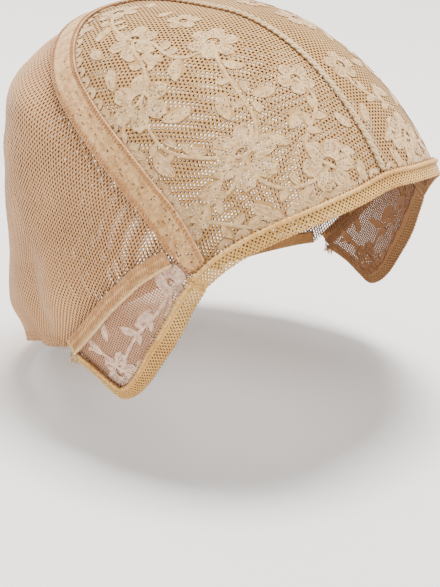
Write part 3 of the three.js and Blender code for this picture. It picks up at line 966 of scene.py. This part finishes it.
def strip_cells(line, start, stop, span, pitch, opens_at, height, width=None, kind="diamond"):
    """A net laid along a seam line between two shares of its width."""
    half = np.asarray(pitch) / 2
    columns = int(line.length / pitch[0]) + 12
    rows = int((span[1] - span[0]) / (half[1] if kind == "diamond" else pitch[1])) + 2
    middles = cells(kind, (-8, columns), (0, rows))
    along = middles[:, 0] * half[0]
    aside = span[0] + (middles[:, 1] + 1) * half[1]
    keep = (aside < span[1]) & (along > start(aside)) & (along < stop(aside))
    middles, aside, along = middles[keep], aside[keep], along[keep]
    grid, faces = cell_mesh(kind, middles)
    grid_along = grid[:, 0] * half[0]
    grid_aside = span[0] + (grid[:, 1] + 1) * half[1]
    spots = line.at(grid_along, grid_aside * (width(grid_along) if width else 1))
    lift = height(grid_aside)[:, None] if callable(height) else height
    corners = spots + outward(spots) * lift
    return corners, facing_out(corners, faces), opens_at(along, aside)


def rope(line, start, stop, aside, base, half_wide, high, turns, width=None, sides=10, step=0.42):
    """A twisted cord along a seam line: closed at both ends."""
    along = np.arange(start, stop, step)
    angle = np.linspace(0, 2 * np.pi, sides, endpoint=False)
    grid_along = np.repeat(along[:, None], sides, axis=1)
    swell = 1 + TWIST * np.cos(2 * angle[None] + 2 * np.pi * grid_along / turns)
    across = aside * (width(grid_along) if width else 1) + half_wide * swell * np.cos(angle)[None]
    spots = line.at(grid_along, across)
    lift = base + high / 2 * (1 + swell / (1 + TWIST) * np.sin(angle)[None])
    corners = (spots + outward(spots) * lift[..., None]).reshape(-1, 3)
    faces = grid_faces(len(along), sides, wraps=True)
    middle = corners.reshape(len(along), sides, 3).mean(axis=1)
    a, b, c = (corners[faces[:, k]] for k in range(3))
    looks = np.einsum("ij,ij->i", np.cross(b - a, c - a), a - middle[faces[:, 0] // sides])
    turned = faces[:, ::-1] if np.median(looks) < 0 else faces
    ends = [list(range(sides)), list(range(len(corners) - sides, len(corners)))]
    ends[1 if np.median(looks) < 0 else 0].reverse()
    return corners, turned.tolist() + ends


def stitch_row(line, along, aside, height, size, slant=0.0, width=None):
    """Stitches along a seam line: places, ways, outs and sizes."""
    along, aside = np.broadcast_arrays(np.asarray(along, float), np.asarray(aside, float))
    on, way, left = line.axes(along)
    spots = line.at(along, aside * (width(along) if width else 1))
    out = outward(spots)
    angle = math.radians(slant)
    ways = unit(way * math.cos(angle) + left * math.sin(angle))
    sizes = np.repeat([size], len(along), axis=0).astype(float)
    return spots + out * np.asarray(height)[..., None], ways, out, sizes


def flipped_rows(rows):
    flip = np.array([-1, 1, 1])
    return [(spots * flip, ways * flip, outs * flip, sizes) for spots, ways, outs, sizes in rows]


def carried(piece, slot, *nodes):
    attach(piece, "root")
    if nodes:
        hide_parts(*nodes)


def on_both_sides(pieces, slot, node_start):
    """Carries right pieces and their mirrored left ones; the first of them replaces the solid."""
    for piece in pieces:
        for made, side in ((piece, "right"), (mirrored(piece), "left")):
            carried(made, slot, *([node_start + side] if piece is pieces[0] else []))


def make_back_net(sizes, looks):
    a, b = sizes.net_pitch / MM, sizes.net_height / MM
    half = np.array([a / 2, b / 2])
    middles = cells("diamond", (-110, 110), (-60, 90))

    def to_form(plane):
        u, v = plane[:, 0], plane[:, 1]
        high = v / NET_ROUND
        turn = (u + v * NET_SLANT) / (NET_ROUND * np.cos(high) ** NET_NARROWING)
        way = np.stack([np.sin(turn) * np.cos(high), np.cos(turn) * np.cos(high), np.sin(high)], axis=1)
        return onto_form(MIDDLE + way)

    def to_edge(plane):
        """The same places, but none past the nape's edge, which is cut clean."""
        found = to_form(plane)
        along, aside = NAPE_LINE.near(found)
        inside = (along > -NET_OVERLAP) & (along < NAPE_LINE.length + NET_OVERLAP)
        past = inside & (aside > NET_EDGE) & (aside < NET_EDGE + b)
        found[past] = NAPE_LINE.at(along[past], np.full(past.sum(), NET_EDGE))
        return found

    plane = middles * half
    fits = (np.abs(plane[:, 1] / NET_ROUND) < NET_TILT) & (np.abs(plane[:, 0]) < NET_TURN * NET_ROUND)
    middles = middles[fits]
    spots = to_form(middles * half)
    keep = over_node("back_net", spots) | over_node("nape_hem", spots)
    middles, spots = middles[keep], spots[keep]
    on_right = np.concatenate([-np.abs(spots[:, :1]), spots[:, 1:]], axis=1)
    from_band = BAND_LINE.near(on_right)[1] - BAND_WIDTH / 2
    from_tape = -TAPE_LINE.near(on_right)[1] - TAPE_WIDTH / 2
    pulled = np.maximum(1 - smooth(0, 9, from_band), 1 - smooth(0, 6, from_tape))
    calm = smooth(120, 175, np.degrees(np.arctan2(np.abs(spots[:, 0]), -spots[:, 1])))
    opens = sizes.net_hole * (1 + 0.26 * pulled - 0.2 * calm + 0.1 * noise(spots, UNEVEN_PITCH))

    def height(at):
        return slack(at) + GROUND_HEIGHT + NET_RIPPLE * noise(at, NET_RIPPLE_PITCH, 5)

    for side, label in ((RIGHT, "right"), (LEFT, "left")):
        here = np.sign(spots[:, 0] + TINY) == side
        corners, faces = laid_net("diamond", half, middles[here], to_edge, height)
        name = f"back_net_{label}_half"
        piece = open_net(name, corners, faces, opens[here], looks["net"], sizes.thread_wall)
        carried(piece, "stretch_net", "back_net")
        ground_area(corners, faces)


def make_crown_lace(sizes, looks):
    spec = ("hexagon", sizes.lace_pitch / MM, (52, 0.26), 8, 98, 96, sizes.lace_hole)
    leaves = LEAVES + sprigs(STEMS, 6, 2.8)
    motifs = (FLOWERS, leaves, STEMS)
    lace_piece("top_lace_net_right", "crown_lace_right", "flower_lace", spec, motifs,
               looks["lace"], sizes)
    plates = [flower_plate(*row) for row in FLOWERS] + [flower_core(*row[:4]) for row in FLOWERS]
    plates += [leaf_plate(*row) for row in leaves] + [stem_plate(row) for row in STEMS]
    along = np.arange(CROSSING + 9, BAND_LINE.length / 2 - 4, 6.3)
    plates += scallops(BAND_LINE, along, -BAND_WIDTH / 2 - 0.2, 2.9, -1)
    along = np.arange(14, HEM_LINE.length / 2 - 4, 6.3)
    plates += scallops(HEM_LINE, along, HEM_WIDTH + 0.2, 2.7, 1)
    motif_piece("top_flowers_right", "crown_lace_right", plates, looks["motif"])


def make_tab_lace(sizes, looks):
    spec = ("square", sizes.tab_pitch / MM, (72, 1.0), 22, 42, 88, sizes.tab_hole)
    leaves = TAB_LEAVES + sprigs(TAB_STEMS[:1], 4.5, 2.2)
    lace_piece("tab_lace_net_right", "tab_lace_right", "tab_lace", spec,
               (TAB_FLOWERS, leaves, TAB_STEMS), looks["tab"], sizes)
    plates = [flower_plate(*row) for row in TAB_FLOWERS] + [flower_core(*row[:4]) for row in TAB_FLOWERS]
    plates += [leaf_plate(*row) for row in leaves] + [stem_plate(row) for row in TAB_STEMS]
    motif_piece("tab_flowers_right", "tab_lace_right", plates, looks["tab_motif"])


def make_cross_band(looks):
    begin = stops(band_stop, (-0.5, 0.5))

    def start(aside):
        return begin(aside / BAND_WIDTH)

    def stop(aside):
        return BAND_LINE.length - begin(aside / BAND_WIDTH)

    def opens(along, aside):
        draw = np.random.default_rng(11).random(len(along))
        shift, away, reach = NEEDLE_ROWS
        rows = (np.abs(np.abs(aside + shift) - away) < reach) * NEEDLE_SHARES[0] + NEEDLE_SHARES[1]
        return np.where(draw < rows, 0.5 + 0.5 * np.random.default_rng(12).random(len(along)) ** 2, 0)

    corners, faces, holes = strip_cells(
        BAND_LINE, start, stop, (-BAND_WIDTH / 2, BAND_WIDTH / 2), (BAND_WEAVE, BAND_WEAVE), opens,
        lambda aside: BAND_HEIGHT + BAND_RIPPLE * np.cos(aside * 2.2), kind="square",
    )
    band = open_net("cross_band_tape", corners, faces, holes, looks["tape"], KNIT_WALL)
    carried(band, "sewn_tape", "cross_band")
    set_smooth(band)
    rows = []
    for aside, gap, step, lift, size, slant in BAND_STITCHES:
        along = np.arange(start(aside) + gap, stop(aside) - 1, step)
        rows.append(stitch_row(BAND_LINE, along, aside, BAND_STITCH_HEIGHT + lift, size, slant))
    across = np.linspace(-0.46, 0.46, 9)
    end = stitch_row(BAND_LINE, begin(across) + 0.5, across * BAND_WIDTH, BAND_STITCH_HEIGHT,
                     (1.5, 0.5, 0.45), 12)
    rows += [end, *flipped_rows([end])]
    carried(stitches("band_stitches", rows, looks["stitch"]), "sewn_tape")


def make_front_hem(sizes, looks):
    def opens(along, aside):
        from_end = np.minimum(along, HEM_LINE.length - along) + aside / HEM_WIDTH * HEM_MITRE
        loops = (aside < KNIT_EDGE) & (from_end > SEWN_END)
        return np.where(loops, sizes.hem_hole * (1 + LOOP_UNEVEN * np.sin(along * 2.1 + aside)), 0)

    pitch = (sizes.hem_pitch / MM, sizes.hem_pitch / MM * 1.12)
    corners, faces, holes = strip_cells(
        HEM_LINE, lambda aside: -aside / HEM_WIDTH * HEM_MITRE,
        lambda aside: HEM_LINE.length + aside / HEM_WIDTH * HEM_MITRE, (0, HEM_WIDTH), pitch, opens,
        KNIT_HEIGHT,
    )
    hem = open_net("front_hem_knit", corners, faces, holes, looks["hem"], KNIT_WALL)
    carried(hem, "knitted_hem", "front_hem")
    roll = rope(HEM_LINE, -2.2, HEM_LINE.length + 2.2, 5.75, half_wide=0.8, **ROLL)
    cord = new_piece("front_hem_roll", *roll, looks["roll"])
    set_smooth(cord)
    carried(cord, "knitted_hem")
    along = np.arange(0.2, HEM_LINE.length, EDGE_STEP)
    rows = [stitch_row(HEM_LINE, along, 0.45, EDGE_HEIGHT, EDGE_BEAD, 38)]
    carried(stitches("front_hem_edge", rows, looks["roll"]), "knitted_hem")
    aside = np.arange(0.35, HEM_WIDTH, 0.55)
    along = -aside / HEM_WIDTH * HEM_MITRE - 0.75
    joint = stitch_row(HEM_LINE, along, aside, EDGE_HEIGHT, (3.4, 0.8, 0.7), 12)
    carried(stitches("hem_corner_stitches", [joint, *flipped_rows([joint])], looks["roll"]), "knitted_hem")


def make_bindings(sizes, looks):
    begin, finish = stops(binding_start, (-1, 0)), stops(binding_end, (-1, 0))
    full = TAB_LINE.width

    def opens(along, aside):
        sewn = along < begin(aside / BINDING_WIDTH) + SEWN_END
        loops = (aside > -KNIT_EDGE) & (aside < -0.2) & ~sewn
        return np.where(loops, sizes.hem_hole * (1 + LOOP_UNEVEN * np.sin(along * 2.3)), 0)

    pitch = (sizes.hem_pitch / MM, sizes.hem_pitch / MM * 1.18)
    corners, faces, holes = strip_cells(
        TAB_LINE, lambda aside: begin(aside / BINDING_WIDTH), lambda aside: finish(aside / BINDING_WIDTH),
        (-BINDING_WIDTH, 0), pitch, opens, KNIT_HEIGHT, width=full,
    )
    knit = open_net("tab_binding_knit_right", corners, faces, holes, looks["hem"], KNIT_WALL)
    ends = float(begin(-0.8)), float(finish(-0.8))
    roll = rope(TAB_LINE, *ends, -0.8 * BINDING_WIDTH, half_wide=0.72, width=full, **ROLL)
    cord = new_piece("tab_binding_roll_right", *roll, looks["roll"])
    set_smooth(cord)
    along = np.arange(float(begin(-0.06)) + 0.3, float(finish(-0.06)), EDGE_STEP)
    rows = [stitch_row(TAB_LINE, along, -0.5, EDGE_HEIGHT, EDGE_BEAD, -38, width=full)]
    beads = stitches("tab_binding_edge_right", rows, looks["roll"])
    on_both_sides((knit, cord, beads), "knitted_hem", "tab_binding_")


def make_tab_tapes(looks):
    begin = stops(tape_start, (-0.5, 0.5))
    end = TAPE_LINE.length - TAPE_END
    corners, faces, holes = strip_cells(
        TAPE_LINE, lambda aside: begin(aside / TAPE_WIDTH), lambda aside: end,
        (-TAPE_WIDTH / 2, TAPE_WIDTH / 2), (TAPE_WEAVE, TAPE_WEAVE), lambda along, aside: 0 * along,
        TAPE_HEIGHT, kind="square",
    )
    tape = open_net("tab_tape_weave_right", corners, faces, holes, looks["tape"], 0.8)
    set_smooth(tape)
    cord = rope(TAPE_LINE, float(begin(0.41)), end, 2.7, OVER_LACE, half_wide=0.6, high=2.0, turns=2.6)
    ridge = new_piece("tab_tape_ridge_right", *cord, looks["ridge"])
    set_smooth(ridge)
    rows = []
    for aside, share, gap, end_gap, lift, size, slant in TAPE_RIBS:
        along = np.arange(float(begin(share)) + gap, end - end_gap, TAPE_STEP)
        rows.append(stitch_row(TAPE_LINE, along, aside, TAPE_HEIGHT + lift, size, slant))
    ribs = stitches("tab_tape_ribs_right", rows, looks["stitch"])
    on_both_sides((tape, ridge, ribs), "sewn_tape", "tab_tape_")


def make_crown_seam(looks):
    start, stop = HEM_WIDTH + CLEARANCE, SEAM_LINE.length - BAND_WIDTH / 2 - CLEARANCE
    ridge = rope(SEAM_LINE, start, stop, 0, SEAM_BASE, half_wide=1.3, high=SEAM_HEIGHT, turns=3.1,
                 sides=12, step=0.5)
    seam = new_piece("top_seam_ridge", *ridge, looks["seam"])
    set_smooth(seam)
    carried(seam, "seam_thread", "crown_seam")
    along = np.arange(start + 1, stop - 0.6, 1.6)
    rows = [stitch_row(SEAM_LINE, along, 0, SEAM_BASE + SEAM_HEIGHT - 0.2, (2.6, 0.42, 0.5), 58)]
    carried(stitches("top_seam_stitches", rows, looks["seam_stitch"]), "seam_thread")


def make_nape_hem(looks):
    columns = np.arange(UNDER_HEM, NAPE_LINE.length - UNDER_HEM, 1.0)
    asides = np.linspace(-NAPE_HEM_WIDTH, 0, 7)
    grid_along, grid_aside = np.meshgrid(columns, asides, indexing="ij")
    spots = NAPE_LINE.at(grid_along, grid_aside)
    lift = slack(spots) - CLEARANCE + 0.12 * np.sin(grid_aside * 3)
    corners = (spots + outward(spots) * lift[..., None]).reshape(-1, 3)
    faces = facing_out(corners, grid_faces(len(columns), len(asides)))
    hem = new_piece("nape_hem_tape", corners, faces, looks["tape"])
    with_wall(hem, NAPE_WALL)
    settle(hem)
    set_smooth(hem)
    carried(hem, "sewn_tape", "nape_hem")
    rows = []
    for aside, size, slant in ((-2.6, (1.3, 0.34, 0.34), 16), (-3.9, (1.2, 0.3, 0.3), -16)):
        along = np.arange(UNDER_HEM + 1, NAPE_LINE.length - UNDER_HEM - 1, 1.5)
        places = NAPE_LINE.at(along, aside)
        rows.append(stitch_row(NAPE_LINE, along, aside, slack(places) + 1.0, size, slant))
    carried(stitches("nape_hem_stitches", rows, looks["stitch"]), "sewn_tape")


def make_frayed_ends(looks):
    draw = np.random.default_rng(5)
    along = TAB_LINE.length - 0.8 - 3.4 * draw.random(TUFT_THREADS)
    base = TAB_LINE.at(along, -2.2 * draw.random(TUFT_THREADS))
    out = outward(base)
    down = unit(np.array([0, 0.25, -1.0]) + 0.38 * draw.normal(size=(TUFT_THREADS, 3)))
    way = unit(down - out * ((down * out).sum(axis=1) - 0.12)[:, None])
    long = draw.uniform(3.2, 6.4, TUFT_THREADS)
    sizes_mm = np.stack([long, 0.36 + 0 * long, 0.36 + 0 * long], axis=1)
    spots = base + way * (long / 2 - 1)[:, None] + out * draw.uniform(1.5, 2.6, TUFT_THREADS)[:, None]
    rows = [(spots, way, out, sizes_mm)]
    carried(stitches("frayed_ends", rows + flipped_rows(rows), looks["fray"]), "sewn_tape")


# Finishes
def yarn_group():
    """Fine fibres and uneven dye: a colour, a height and a roughness."""
    tree, start = new_group(
        "Yarn grain", "ShaderNodeTree",
        [("Light", "Color", (1, 1, 1, 1)), ("Deep", "Color", (0.5, 0.4, 0.3, 1)), ("Fibre", "Float", 2200.0),
         ("Patches", "Float", 45.0), ("Contrast", "Float", 0.5), ("Roughness", "Float", 0.8)],
        [("Color", "Color"), ("Height", "Float"), ("Roughness", "Float")],
    )
    spot = node(tree, "ShaderNodeTexCoord").outputs["Object"]
    noises = (
        node(tree, "ShaderNodeTexNoise", {"Vector": spot, "Scale": start[name], "Detail": detail})
        for name, detail in (("Fibre", 3), ("Patches", 4))
    )
    fibre, patch = (made.outputs["Fac"] for made in noises)
    both = node(tree, "ShaderNodeMath", {0: fibre, 1: patch}, operation="ADD").outputs[0]
    spread = node(tree, "ShaderNodeMapRange", {"Value": both, "From Min": 0.82, "From Max": 1.2}).outputs[0]
    share = node(tree, "ShaderNodeMath", {0: spread, 1: start["Contrast"]}, operation="MULTIPLY").outputs[0]
    rough = node(tree, "ShaderNodeMath", {0: patch, 1: 0.15, 2: start["Roughness"]}, operation="MULTIPLY_ADD")
    colour = blended(tree, share, start["Light"], start["Deep"])
    node(tree, "NodeGroupOutput", {"Color": colour, "Height": fibre, "Roughness": rough.outputs[0]})
    return tree


def blended(tree, share, first, second):
    """A mix of two colours; the node's colour sockets are known by their places."""
    return node(tree, "ShaderNodeMix", {"Factor": share, 6: first, 7: second}, data_type="RGBA").outputs[2]


def painted_shade_group():
    """Painted shade: darkens the sides of threads to the wall colour, and what faces in towards the wearer's
    head, where little light comes, to the inner colour.
    """
    tree, start = new_group(
        "Painted thread shade", "ShaderNodeTree",
        [("Color", "Color", (1, 1, 1, 1)), ("Wall", "Color", (0.2, 0.1, 0.05, 1)),
         ("Inner", "Color", (0.4, 0.3, 0.2, 1))],
        [("Color", "Color")],
    )
    spot = node(tree, "ShaderNodeTexCoord").outputs["Object"]
    normal = node(tree, "ShaderNodeNewGeometry").outputs["Normal"]
    middle = tuple(MIDDLE * MM)
    off = node(tree, "ShaderNodeVectorMath", {0: spot, 1: middle}, operation="SUBTRACT").outputs[0]
    way = node(tree, "ShaderNodeVectorMath", {0: off}, operation="NORMALIZE").outputs[0]
    facing = node(tree, "ShaderNodeVectorMath", {0: normal, 1: way}, operation="DOT_PRODUCT").outputs["Value"]
    colour = start["Color"]
    # painted shade: faces turned sideways from the head's middle take the wall colour, faces turned inwards
    # take the inner colour
    for low, high, name in ((0.62, 0.12, "Wall"), (-0.1, -0.6, "Inner")):
        share = node(tree, "ShaderNodeMapRange", {"Value": facing, "From Min": low, "From Max": high})
        colour = blended(tree, share.outputs[0], colour, start[name])
    node(tree, "NodeGroupOutput", {"Color": colour})
    return tree


def linear(colour):
    """A colour code as the light it stands for; a colour that the user chose is light already."""
    if not isinstance(colour, str):
        return tuple(colour)[:3]
    parts = [int(colour[k:k + 2], 16) / 255 for k in (0, 2, 4)]
    return tuple(c / 12.92 if c <= 0.04045 else ((c + 0.055) / 1.055) ** 2.4 for c in parts)


def thread_look(name, codes, fibre=2200.0, patches=45.0, contrast=0.5, bump=0.35):
    """A thread's material; its codes are the light and the deep colour of the yarn, then the painted shade
    colours of its walls and of its inner side.
    """
    # the last two colours are painted shade for the walls and the inner side
    light, deep, wall, inner_shade = ((*linear(code), 1) for code in codes)
    material = bpy.data.materials.new(name)
    material.use_nodes = True
    tree = material.node_tree
    yarn = node(tree, "ShaderNodeGroup", {
        "Light": light, "Deep": deep, "Fibre": fibre, "Patches": patches, "Contrast": contrast,
        "Roughness": ROUGHNESS,
    }, node_tree=tree_named("Yarn grain", yarn_group)).outputs
    inside = node(tree, "ShaderNodeGroup", {"Color": yarn["Color"], "Wall": wall, "Inner": inner_shade},
                  node_tree=tree_named("Painted thread shade", painted_shade_group)).outputs
    relief = node(tree, "ShaderNodeBump",
                  {"Height": yarn["Height"], "Strength": bump, "Distance": BUMP_DEPTH}).outputs
    shader = tree.nodes["Principled BSDF"]
    for name, value in SHEEN.items():
        shader.inputs[name].default_value = value
    tree.links.new(inside["Color"], shader.inputs["Base Color"])
    tree.links.new(yarn["Roughness"], shader.inputs["Roughness"])
    tree.links.new(relief["Normal"], shader.inputs["Normal"])
    return material


def all_looks(colours):
    """The material of each kind of thread, tape and cord."""
    coarse = {"fibre": 700, "patches": 260, "bump": 1.0}
    # each row: a name, the light and the deep yarn colour, then the painted shade colours of the walls and of
    # the inner side
    rows = {
        "net": ("Back net thread", (colours.net, "C08652", SHADE, NET_INSIDE_PAINTED_SHADE), {}),
        "lace": ("Lace ground thread", (colours.lace, "9E7440", SHADE, NET_INSIDE_PAINTED_SHADE), {}),
        "motif": ("Flower thread", (colours.flower, "B08A5C", SHADE, TAN_PAINTED_SHADE), {**coarse, "contrast": 0.75}),
        "tab": ("Tab lace thread", ("D09C74", "A87450", SHADE, TAN_PAINTED_SHADE), {}),
        "tab_motif": ("Tab flower thread", ("EDCDB4", "C0927A", SHADE, TAN_PAINTED_SHADE), {**coarse, "contrast": 0.8}),
        "tape": ("Sewn tape", (colours.tape, "B07E46", SHADE, WARM_PAINTED_SHADE),
                 {**coarse, "patches": 240, "contrast": 0.75}),
        "ridge": ("Tape ridge", ("E8C68C", "BE8C4E", WARM_PAINTED_SHADE, WARM_PAINTED_SHADE), {"fibre": 900}),
        "hem": ("Knitted hem", (colours.hem, "B87C38", SHADE, WARM_PAINTED_SHADE), {"fibre": 1100, "contrast": 0.6}),
        "roll": ("Rolled hem cord", ("E8BE74", "BC823C", "9A642C", WARM_PAINTED_SHADE), {"fibre": 900, "contrast": 0.8}),
        "seam": ("Top seam ridge", ("DCC092", "AE8652", "C6A272", TAN_PAINTED_SHADE), {}),
        "seam_stitch": ("Top seam stitch", ("E8D2A8", "BC9A66", TAN_PAINTED_SHADE, TAN_PAINTED_SHADE), {}),
        "stitch": ("Cover stitch", ("CC8448", "A0632F", "7E4C24", TAN_PAINTED_SHADE), {}),
        "fray": ("Frayed thread", ("E2C8A0", "B08652", TAN_PAINTED_SHADE, TAN_PAINTED_SHADE), {}),
    }
    return {key: thread_look(name, codes, **more) for key, (name, codes, more) in rows.items()}


# The add-on's sizes, colours, operators and panel
class CapSizes(bpy.types.PropertyGroup):
    net_pitch: bpy.props.FloatProperty(
        name="Back net pitch", description="Width of a cell of the back net", default=0.00175,
        unit="LENGTH")
    net_height: bpy.props.FloatProperty(
        name="Back net cell height", description="Height of a cell of the back net", default=0.0027,
        unit="LENGTH")
    net_hole: bpy.props.FloatProperty(
        name="Back net hole", description="Share of a cell that its hole takes", default=0.58)
    lace_pitch: bpy.props.FloatProperty(
        name="Crown lace pitch", description="Width of a cell of the crown lace", default=0.00165,
        unit="LENGTH")
    lace_hole: bpy.props.FloatProperty(
        name="Crown lace hole", description="Share of a cell that its hole takes", default=0.58)
    tab_pitch: bpy.props.FloatProperty(
        name="Tab lace pitch", description="Width of a cell of the tab lace", default=0.00115,
        unit="LENGTH")
    tab_hole: bpy.props.FloatProperty(
        name="Tab lace hole", description="Share of a cell that its hole takes", default=0.59)
    hem_pitch: bpy.props.FloatProperty(
        name="Hem knit pitch", description="Width of a loop of the knitted hem", default=0.0016,
        unit="LENGTH")
    hem_hole: bpy.props.FloatProperty(
        name="Hem knit hole", description="Share of a loop that its hole takes", default=0.52)
    thread_wall: bpy.props.FloatProperty(
        name="Thread wall", description="Thickness of the nets' thread, in millimetres", default=0.45)


class CapColours(bpy.types.PropertyGroup):
    net: bpy.props.FloatVectorProperty(
        name="Back net", description="Colour of the back net", subtype="COLOR", default=linear("DEAA72"))
    lace: bpy.props.FloatVectorProperty(
        name="Crown lace", description="Colour of the crown lace's ground", subtype="COLOR",
        default=linear("C2965A"))
    flower: bpy.props.FloatVectorProperty(
        name="Flowers", description="Colour of the lace flowers", subtype="COLOR", default=linear("DCB888"))
    tape: bpy.props.FloatVectorProperty(
        name="Tapes", description="Colour of the sewn tapes", subtype="COLOR", default=linear("E2B47C"))
    hem: bpy.props.FloatVectorProperty(
        name="Hem", description="Colour of the knitted hem", subtype="COLOR", default=linear("E8BA6A"))


def all_made(context):
    """The materials, made once from the chosen colours."""
    if not LOOKS:
        LOOKS.update(all_looks(context.scene.cap_colours))
    return LOOKS


# The stage
def camera_axes():
    turn, rise = math.radians(CAMERA_TURN), math.radians(CAMERA_RISE)
    back = Vector((math.sin(turn) * math.cos(rise), -math.cos(turn) * math.cos(rise), math.sin(rise)))
    right = Vector((0, 0, 1)).cross(back).normalized()
    return back, right, back.cross(right)


def soft_light(name, spot, aim, size, power, colour):
    data = bpy.data.lights.new(name, "AREA")
    data.size = size
    data.energy = power
    data.color = colour
    light = bpy.data.objects.new(name, data)
    light.location = spot
    light.rotation_euler = (Vector(spot) - Vector(aim)).to_track_quat("Z", "Y").to_euler()
    bpy.context.scene.collection.objects.link(light)


def make_stage():
    scene = bpy.context.scene
    middle = Vector(MIDDLE * MM)
    back, right, up = camera_axes()
    aim = middle - up * AIM_BELOW - right * AIM_LEFT
    data = bpy.data.cameras.new("Camera")
    data.sensor_fit = "HORIZONTAL"
    data.sensor_width = 36
    data.lens = LENS
    data.clip_start = 0.01
    camera = bpy.data.objects.new("Camera", data)
    camera.location = middle + back * CAMERA_AWAY
    camera.rotation_euler = (camera.location - aim).to_track_quat("Z", "Y").to_euler()
    scene.collection.objects.link(camera)
    scene.camera = camera
    floor = CAD_BOX[0][2] - FLOOR_GAP
    mesh = bpy.data.meshes.new("floor")
    reach = FLOOR_REACH
    mesh.from_pydata([(-reach, -reach, floor), (reach, -reach, floor), (reach, reach, floor),
                      (-reach, reach, floor)], [], [(0, 1, 2, 3)])
    ground = bpy.data.objects.new("floor", mesh)
    scene.collection.objects.link(ground)
    paint = bpy.data.materials.new("Pale floor")
    paint.use_nodes = True
    shader = paint.node_tree.nodes["Principled BSDF"]
    shader.inputs["Base Color"].default_value = (0.93, 0.92, 0.91, 1)
    shader.inputs["Roughness"].default_value = 0.9
    mesh.materials.append(paint)
    world = bpy.data.worlds.new("Studio")
    world.use_nodes = True
    world.node_tree.nodes["Background"].inputs["Color"].default_value = (1, 0.98, 0.95, 1)
    world.node_tree.nodes["Background"].inputs["Strength"].default_value = 0.9
    scene.world = world
    key = middle + back * 0.3 + right * 0.1 + up * 1.2
    soft_light("Key", key, middle, 0.45, 36, (1, 0.97, 0.92))
    soft_light("Fill", middle + back * 0.9 + right * 1.0 + up * 0.3, middle, 0.9, 6, (1, 0.97, 0.94))
    soft_light("Rim", middle - back * 0.8 + up * 0.9 - right * 0.6, middle, 0.7, 7, (1, 0.98, 0.95))


class WIGCAP_OT_back_net(bpy.types.Operator):
    """Make the two halves of the stretched back net"""

    bl_idname = "wigcap.back_net"
    bl_label = "Back net"

    def execute(self, context):
        make_back_net(context.scene.cap_sizes, all_made(context))
        return {"FINISHED"}


class WIGCAP_OT_crown_lace(bpy.types.Operator):
    """Make the crown's lace ground and its flowers"""

    bl_idname = "wigcap.crown_lace"
    bl_label = "Crown lace"

    def execute(self, context):
        make_crown_lace(context.scene.cap_sizes, all_made(context))
        return {"FINISHED"}


class WIGCAP_OT_tab_lace(bpy.types.Operator):
    """Make the lace of the two side tabs"""

    bl_idname = "wigcap.tab_lace"
    bl_label = "Tab lace"

    def execute(self, context):
        make_tab_lace(context.scene.cap_sizes, all_made(context))
        return {"FINISHED"}


class WIGCAP_OT_cross_band(bpy.types.Operator):
    """Make the tape across the head and its stitches"""

    bl_idname = "wigcap.cross_band"
    bl_label = "Cross band"

    def execute(self, context):
        make_cross_band(all_made(context))
        return {"FINISHED"}


class WIGCAP_OT_front_hem(bpy.types.Operator):
    """Make the knitted front hem and its roll"""

    bl_idname = "wigcap.front_hem"
    bl_label = "Front hem"

    def execute(self, context):
        make_front_hem(context.scene.cap_sizes, all_made(context))
        return {"FINISHED"}


class WIGCAP_OT_bindings(bpy.types.Operator):
    """Make the knitted bindings round the tabs"""

    bl_idname = "wigcap.bindings"
    bl_label = "Tab bindings"

    def execute(self, context):
        make_bindings(context.scene.cap_sizes, all_made(context))
        return {"FINISHED"}


class WIGCAP_OT_tab_tapes(bpy.types.Operator):
    """Make the ribbed tapes behind the tabs"""

    bl_idname = "wigcap.tab_tapes"
    bl_label = "Tab tapes"

    def execute(self, context):
        make_tab_tapes(all_made(context))
        return {"FINISHED"}


class WIGCAP_OT_crown_seam(bpy.types.Operator):
    """Make the ridge along the crown and its stitches"""

    bl_idname = "wigcap.crown_seam"
    bl_label = "Crown seam"

    def execute(self, context):
        make_crown_seam(all_made(context))
        return {"FINISHED"}


class WIGCAP_OT_nape_hem(bpy.types.Operator):
    """Make the tape inside the nape and its stitches"""

    bl_idname = "wigcap.nape_hem"
    bl_label = "Nape hem"

    def execute(self, context):
        make_nape_hem(all_made(context))
        return {"FINISHED"}


class WIGCAP_OT_frayed_ends(bpy.types.Operator):
    """Make the frayed threads at the tabs' back corners"""

    bl_idname = "wigcap.frayed_ends"
    bl_label = "Frayed ends"

    def execute(self, context):
        make_frayed_ends(all_made(context))
        return {"FINISHED"}


class WIGCAP_OT_stage(bpy.types.Operator):
    """Make the camera, the lights and the floor"""

    bl_idname = "wigcap.stage"
    bl_label = "Stage"

    def execute(self, context):
        make_stage()
        return {"FINISHED"}


OPERATORS = [
    WIGCAP_OT_back_net, WIGCAP_OT_crown_lace, WIGCAP_OT_tab_lace, WIGCAP_OT_cross_band,
    WIGCAP_OT_front_hem, WIGCAP_OT_bindings, WIGCAP_OT_tab_tapes, WIGCAP_OT_crown_seam,
    WIGCAP_OT_nape_hem, WIGCAP_OT_frayed_ends, WIGCAP_OT_stage,
]


class WIGCAP_PT_dressing(bpy.types.Panel):
    """Lists the sizes, the colours and the steps that dress the cap."""

    bl_label = "Wig cap"
    bl_space_type = "VIEW_3D"
    bl_region_type = "UI"
    bl_category = "Wig cap"

    def draw(self, context):
        for group in (context.scene.cap_sizes, context.scene.cap_colours):
            for name in group.__annotations__:
                self.layout.prop(group, name)
        for made in OPERATORS:
            self.layout.operator(made.bl_idname)


CLASSES = [CapSizes, CapColours, *OPERATORS, WIGCAP_PT_dressing]


def register():
    for item in CLASSES:
        bpy.utils.register_class(item)
    bpy.types.Scene.cap_sizes = bpy.props.PointerProperty(type=CapSizes)
    bpy.types.Scene.cap_colours = bpy.props.PointerProperty(type=CapColours)


def unregister():
    del bpy.types.Scene.cap_colours
    del bpy.types.Scene.cap_sizes
    for item in reversed(CLASSES):
        bpy.utils.unregister_class(item)


def main():
    register()
    for made in OPERATORS:
        getattr(bpy.ops.wigcap, made.bl_idname.split(".")[1])()


if __name__ == "__main__":
    main()
